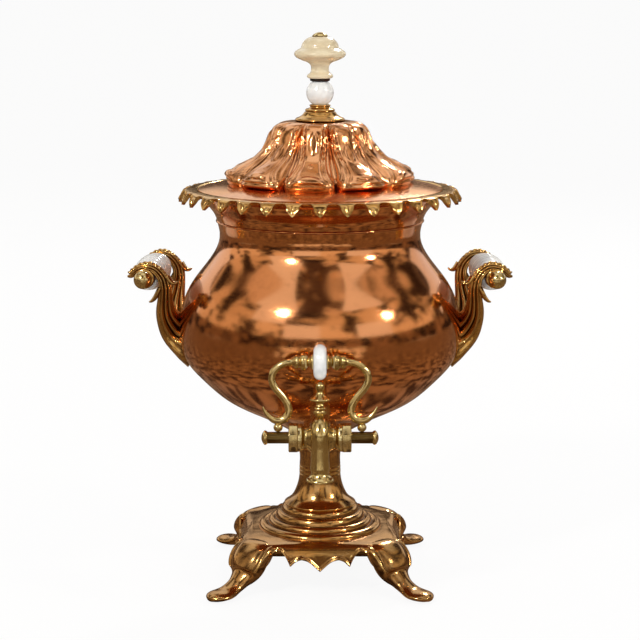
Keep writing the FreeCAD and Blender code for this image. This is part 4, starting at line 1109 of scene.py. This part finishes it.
def spout_place(u, v):
    """The spout: an elbow that falls to a faintly faceted pipe with a rolled lip."""
    y, z, radius, flat = along(SPOUT_LINE, v)
    ahead = along(SPOUT_LINE, min(v + TANGENT_STEP, 1.0))
    behind = along(SPOUT_LINE, max(v - TANGENT_STEP, 0.0))
    tangent = Vector((0, ahead[0] - behind[0], ahead[1] - behind[1])).normalized()
    across = Vector((1, 0, 0))
    upward = across.cross(tangent).normalized()
    angle = 2 * math.pi * u
    near = (angle + SPOUT_SECTOR / 2) % SPOUT_SECTOR - SPOUT_SECTOR / 2
    reach = radius * (1 + (math.cos(SPOUT_SECTOR / 2) / math.cos(near) - 1) * flat)
    aside, up = polar(reach, angle)
    return Vector((0, y, z)) + across * aside + upward * up


def inlet_piece():
    """The tapered inlet, widest where it meets the bowl."""
    stations = [(0.0, -y, z, r, r) for y, z, r in INLET_STATIONS]
    return horn_piece("inlet", stations, 48, 60, Vector((1, 0, 0)))


def gland_piece(way):
    """An eight-sided gland nut with eased edges, a flat on top."""
    centre = (way * NUT_PLACE, -TAP_REACH, TAP_HEIGHT)
    return eased_cylinder(8, NUT_RADIUS, NUT_LENGTH, centre,
                          (math.pi / 2, math.pi / 8, math.pi / 2), NUT_EDGE)


def scroll_piece(way):
    """One scroll arm of the lever, with the ball that it stands on."""
    stations = [(way * x, -TAP_REACH, TAP_HEIGHT + z, r, r) for x, z, r in SCROLL_STATIONS]
    arm = horn_piece("scroll", stations, 24, 150, Vector((0, 1, 0)))
    ball = ball_piece("ball", (way * STAND_PLACE, -TAP_REACH, TAP_HEIGHT + STAND_RISE),
                      STAND_RADIUS)
    return joined("scroll_arm", [arm, ball])


class URN_OT_tap(bpy.types.Operator):
    """Shape the tap's casting, its nuts, its finial and its lever"""
    bl_idname = "urn.tap"
    bl_label = "Tap and lever"

    def execute(self, context):
        seat = (-TAP_REACH, TAP_HEIGHT)
        upright = (-TAP_REACH, 0.0)
        casting = joined("tap_casting", [
            turned_piece("barrel", outline(0.0, BARREL_RUNS, 5), 64, seat, across=True),
            draped_piece("spout", 64, 110, spout_place),
            turned_piece("neck", outline(TAP_HEIGHT, TAP_NECK_RUNS, 5), 48, upright),
            inlet_piece(),
        ])
        finished(casting, "tap_brass", "vessel", "tap_body", 50.0)
        finial = turned_piece("tap_finial_turned",
                              outline(TAP_HEIGHT + FINIAL_RISE, FINIAL_RUNS, 5), 48, upright)
        finished(finial, "tap_brass", "vessel", "tap_finial")
        nuts = joined("gland_nuts", [gland_piece(-1), gland_piece(1)])
        finished(nuts, "tap_brass", "vessel", "tap_gland_nuts")
        scrolls = joined("lever_scrolls", [scroll_piece(-1), scroll_piece(1)])
        finished(scrolls, "tap_brass", "lever", "lever_arms", 60.0)
        beads = [(r, -x) for r, x in reversed(LEVER_BEADS)] + list(LEVER_BEADS)
        cross = turned_piece("lever_cross", through(beads, 5), 48, (-TAP_REACH, LEVER_HEIGHT),
                             across=True)
        finished(cross, "tap_brass", "lever", "lever_cross_rod")
        return {"FINISHED"}


# The CAD nodes by finish. A node that isn't named wears tap brass.
NODES_OF_FINISH = {
    "steel": ("pedestal_stud", "pedestal_nut", "pedestal_washer", "knob_rod", "handle_rods"),
    "iron": ("knob_washer", "heater_billet"),
    "leather": ("tap_seal",),
    "white_porcelain": ("knob_ball", "handle_grip_left", "handle_grip_right", "lever_disc"),
    "bowl_copper": ("heater_sleeve", "heater_cover", "vessel_bowl", "vessel_neck"),
    "lid_copper": ("lid_bezel", "lid_dome"),
    "foot_bronze": ("base_plate", "pedestal_stem"),
    "border_brass": ("rim_border",),
}


class URN_OT_node_finishes(bpy.types.Operator):
    """Give every carried-over CAD node its finish"""
    bl_idname = "urn.node_finishes"
    bl_label = "Finishes of the CAD nodes"

    def execute(self, context):
        worn = {node: finish for finish, nodes in NODES_OF_FINISH.items() for node in nodes}
        for node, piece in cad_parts.items():
            for slot in piece.material_slots:
                slot.material = FINISHES[worn.get(node, "tap_brass")]
        return {"FINISHED"}


# The stage, in metres

FLOOR_GLOW = 0.92
FLOOR_SIZE, FLOOR_LEVEL = 60, -0.0004
ROOM_RADIUS = 3.2
ROOM_WALLS = 12
WALL_WIDTH = 1.72
ROOM_BANDS = ((0.30, 0.60), (1.10, 1.00), (2.35, 1.50))
WINDOWS = ((11, 1), (1, 1), (4, 1), (7, 1), (10, 2), (5, 2), (6, 2))
CEILING_RADIUS, CEILING_HEIGHT, CEILING_SIZE = 1.9, 3.2, 2.1
FLOOR_CARD_SIZE, FLOOR_CARD_LEVEL = 6.0, 0.0006
FRONT_CARD_SIZE, FRONT_CARD_REACH, FRONT_CARD_HEIGHT = (1.1, 0.16), 0.8, 0.08

# Cards of the room: dark colour, light colour, scale, and where dark ends and light begins
ROOM_TONES = {
    "room_low": ((40, 30, 24), (150, 124, 100), 2.2, 0.42, 0.62),
    "room_middle": ((62, 46, 36), (246, 230, 204), 0.9, 0.38, 0.54),
    "room_high": ((50, 38, 30), (232, 214, 186), 0.7, 0.42, 0.58),
    "room_floor": ((62, 46, 36), (166, 140, 112), 24.0, 0.4, 0.6),
    "pale_front": ((96, 76, 58), (255, 246, 228), 9.0, 0.42, 0.52),
    "room_ceiling": ((78, 62, 52), (232, 214, 192), 0.8, 0.42, 0.6),
}

# Lamps: place, size, power and colour
LAMPS = {
    "key_lamp": ((-1.2, -1.7, 1.8), 0.3, 24.0, (1.0, 0.96, 0.9)),
    "side_lamp": ((1.8, -1.0, 1.3), 0.25, 12.0, (1.0, 0.95, 0.88)),
    "back_lamp": ((0.6, 1.9, 1.6), 0.3, 16.0, (1.0, 0.97, 0.94)),
}
LAMP_TARGET = (0, AXIS_Y, 0.24)

# The camera that the photo was matched with
CAMERA_PLACE = (0, AXIS_Y - 1.582, 0.4919)
CAMERA_DIP = 10.087
CAMERA_LENS = 111.8


def stage_plane(name, size, location, material):
    """A flat card of the stage."""
    clear_selection()
    bpy.ops.mesh.primitive_plane_add(size=1, location=location)
    plane = bpy.context.object
    plane.name = name
    plane.scale = (size[0], size[1], 1)
    plane.data.materials.append(material)
    return plane


def aimed(thing, place, target):
    """Turns a lamp or a card at a place to face a target."""
    aim = Vector(target) - Vector(place)
    thing.rotation_euler = aim.to_track_quat("-Z", "Y").to_euler()


def blank_tree(owner):
    """Empties the nodes of a new material or world."""
    owner.use_nodes = True
    owner.node_tree.nodes.clear()
    return owner.node_tree


def seen_share(tree):
    """1 for rays of the camera, of reflections and of glass, 0 for the rest."""
    rays = add_node(tree, "ShaderNodeLightPath").outputs
    seen = sum_of(tree, "MAXIMUM", rays["Is Camera Ray"], rays["Is Glossy Ray"])
    return sum_of(tree, "MAXIMUM", seen, rays["Is Transmission Ray"])


def output_mix(tree, out, share, first, second):
    """Sends two shaders, mixed by a share, to an output node."""
    mix = tree.nodes.new("ShaderNodeMixShader")
    for socket, value in zip(mix.inputs, (share, first.outputs[0], second.outputs[0])):
        plug(tree, socket, value)
    tree.links.new(mix.outputs[0], tree.nodes.new(out).inputs[0])


def floor_material():
    """A white floor that keeps the urn's soft shadow."""
    material = bpy.data.materials.new("studio_floor")
    tree = blank_tree(material)
    paint = add_node(tree, "ShaderNodeBsdfDiffuse", Color=(0.9, 0.9, 0.9, 1))
    glow = add_node(tree, "ShaderNodeEmission", Strength=1.0)
    share = sum_of(tree, "MULTIPLY", seen_share(tree), FLOOR_GLOW)
    output_mix(tree, "ShaderNodeOutputMaterial", share, paint, glow)
    return material


def white_world():
    """White where the camera and the metal look, and a softer fill for the rest."""
    world = bpy.data.worlds.new("studio_world")
    bpy.context.scene.world = world
    tree = blank_tree(world)
    fill_light = add_node(tree, "ShaderNodeBackground", Color=(1.0, 0.97, 0.94, 1), Strength=0.6)
    seen_light = add_node(tree, "ShaderNodeBackground", Color=(1, 1, 1, 1), Strength=1.0)
    output_mix(tree, "ShaderNodeOutputWorld", seen_share(tree), fill_light, seen_light)


def card_material(name):
    """Dim patches of two tones, for cards that only reflections see."""
    dark, light, scale, low, high = ROOM_TONES[name]
    material = bpy.data.materials.new(name)
    tree = blank_tree(material)
    places = add_node(tree, "ShaderNodeNewGeometry").outputs["Position"]
    patches = noise(tree, Vector=places, Detail=3.0, Scale=scale, Distortion=0.6)
    colour = colour_mix(tree, ranged(tree, patches, low, high), linear(*dark), linear(*light))
    glow = add_node(tree, "ShaderNodeEmission", Color=colour, Strength=1.0)
    out = tree.nodes.new("ShaderNodeOutputMaterial")
    tree.links.new(glow.outputs[0], out.inputs[0])
    return material


def reflection_card(name, size, location, target, material):
    """A card seen only in the metal's reflections."""
    card = stage_plane(name, size, location, material)
    aimed(card, location, target)
    card.visible_camera = False
    card.visible_shadow = False
    card.visible_diffuse = False
    card.visible_transmission = False


def room_cards():
    """A dim room round the urn for its metal to mirror, with windows where the white shows."""
    tones = {name: card_material(name) for name in ROOM_TONES}
    bands = (tones["room_low"], tones["room_middle"], tones["room_high"])
    for number in range(ROOM_WALLS):
        angle = 2 * math.pi * (number + 0.5) / ROOM_WALLS - math.pi / 2
        x, y = polar(ROOM_RADIUS, angle)
        for band, (height, tall) in enumerate(ROOM_BANDS):
            if (number, band) not in WINDOWS:
                reflection_card("wall_%d_%d" % (number, band), (WALL_WIDTH, tall),
                                (x, y + AXIS_Y, height), (0, AXIS_Y, height), bands[band])
    reflection_card("floor_card", (FLOOR_CARD_SIZE, FLOOR_CARD_SIZE),
                    (0, AXIS_Y, FLOOR_CARD_LEVEL), (0, AXIS_Y, -1), tones["room_floor"])
    reflection_card("front_card", FRONT_CARD_SIZE,
                    (0, AXIS_Y - FRONT_CARD_REACH, FRONT_CARD_HEIGHT),
                    (0, AXIS_Y, FRONT_CARD_HEIGHT), tones["pale_front"])
    for number in range(4):
        x, y = polar(CEILING_RADIUS, math.pi / 2 * number)
        reflection_card("ceiling_card_%d" % number, (CEILING_SIZE, CEILING_SIZE),
                        (x, y + AXIS_Y, CEILING_HEIGHT), (0, AXIS_Y, 0.0), tones["room_ceiling"])


def placed(name, data, place):
    """An object for a lamp or the camera."""
    holder = bpy.data.objects.new(name, data)
    bpy.context.scene.collection.objects.link(holder)
    holder.location = place
    return holder


class URN_OT_stage(bpy.types.Operator):
    """Set the floor, cards, lamps, world and camera"""
    bl_idname = "urn.stage"
    bl_label = "Stage"

    def execute(self, context):
        stage_plane("studio_floor", (FLOOR_SIZE, FLOOR_SIZE), (0, 0, FLOOR_LEVEL),
                    floor_material())
        white_world()
        room_cards()
        for name, (place, size, power, colour) in LAMPS.items():
            lamp = bpy.data.lights.new(name, "AREA")
            lamp.shape = "DISK"
            lamp.size = size
            lamp.energy = power
            lamp.color = colour
            aimed(placed(name, lamp, place), place, LAMP_TARGET)
        camera = bpy.data.cameras.new("photo_camera")
        camera.sensor_width = 36.0
        camera.lens = CAMERA_LENS
        camera.clip_end = 100.0
        holder = placed("photo_camera", camera, CAMERA_PLACE)
        holder.rotation_euler = (math.radians(90 - CAMERA_DIP), 0, 0)
        scene = bpy.context.scene
        scene.camera = holder
        scene.view_settings.view_transform = "Standard"
        return {"FINISHED"}


class URN_PT_panel(bpy.types.Panel):
    """Lists the urn's settings and pieces"""
    bl_idname = "URN_PT_panel"
    bl_label = "Tea urn"
    bl_space_type = "VIEW_3D"
    bl_region_type = "UI"
    bl_category = "Tea urn"

    def draw(self, context):
        urn = context.scene.tea_urn
        for name in TeaUrnSettings.__annotations__:
            self.layout.prop(urn, name)
        for operator in OPERATORS:
            self.layout.operator(operator.bl_idname)


OPERATORS = (URN_OT_body, URN_OT_border, URN_OT_lid, URN_OT_knob, URN_OT_base, URN_OT_handles,
             URN_OT_tap, URN_OT_node_finishes, URN_OT_stage)
CLASSES = (TeaUrnSettings, *OPERATORS, URN_PT_panel)


def register():
    for kind in CLASSES:
        bpy.utils.register_class(kind)
    bpy.types.Scene.tea_urn = PointerProperty(type=TeaUrnSettings)


def unregister():
    del bpy.types.Scene.tea_urn
    for kind in reversed(CLASSES):
        bpy.utils.unregister_class(kind)


def main():
    register()
    make_finishes()
    bpy.ops.urn.body()
    bpy.ops.urn.border()
    bpy.ops.urn.lid()
    bpy.ops.urn.knob()
    bpy.ops.urn.base()
    bpy.ops.urn.handles()
    bpy.ops.urn.tap()
    bpy.ops.urn.node_finishes()
    bpy.ops.urn.stage()


if __name__ == "__main__":
    main()
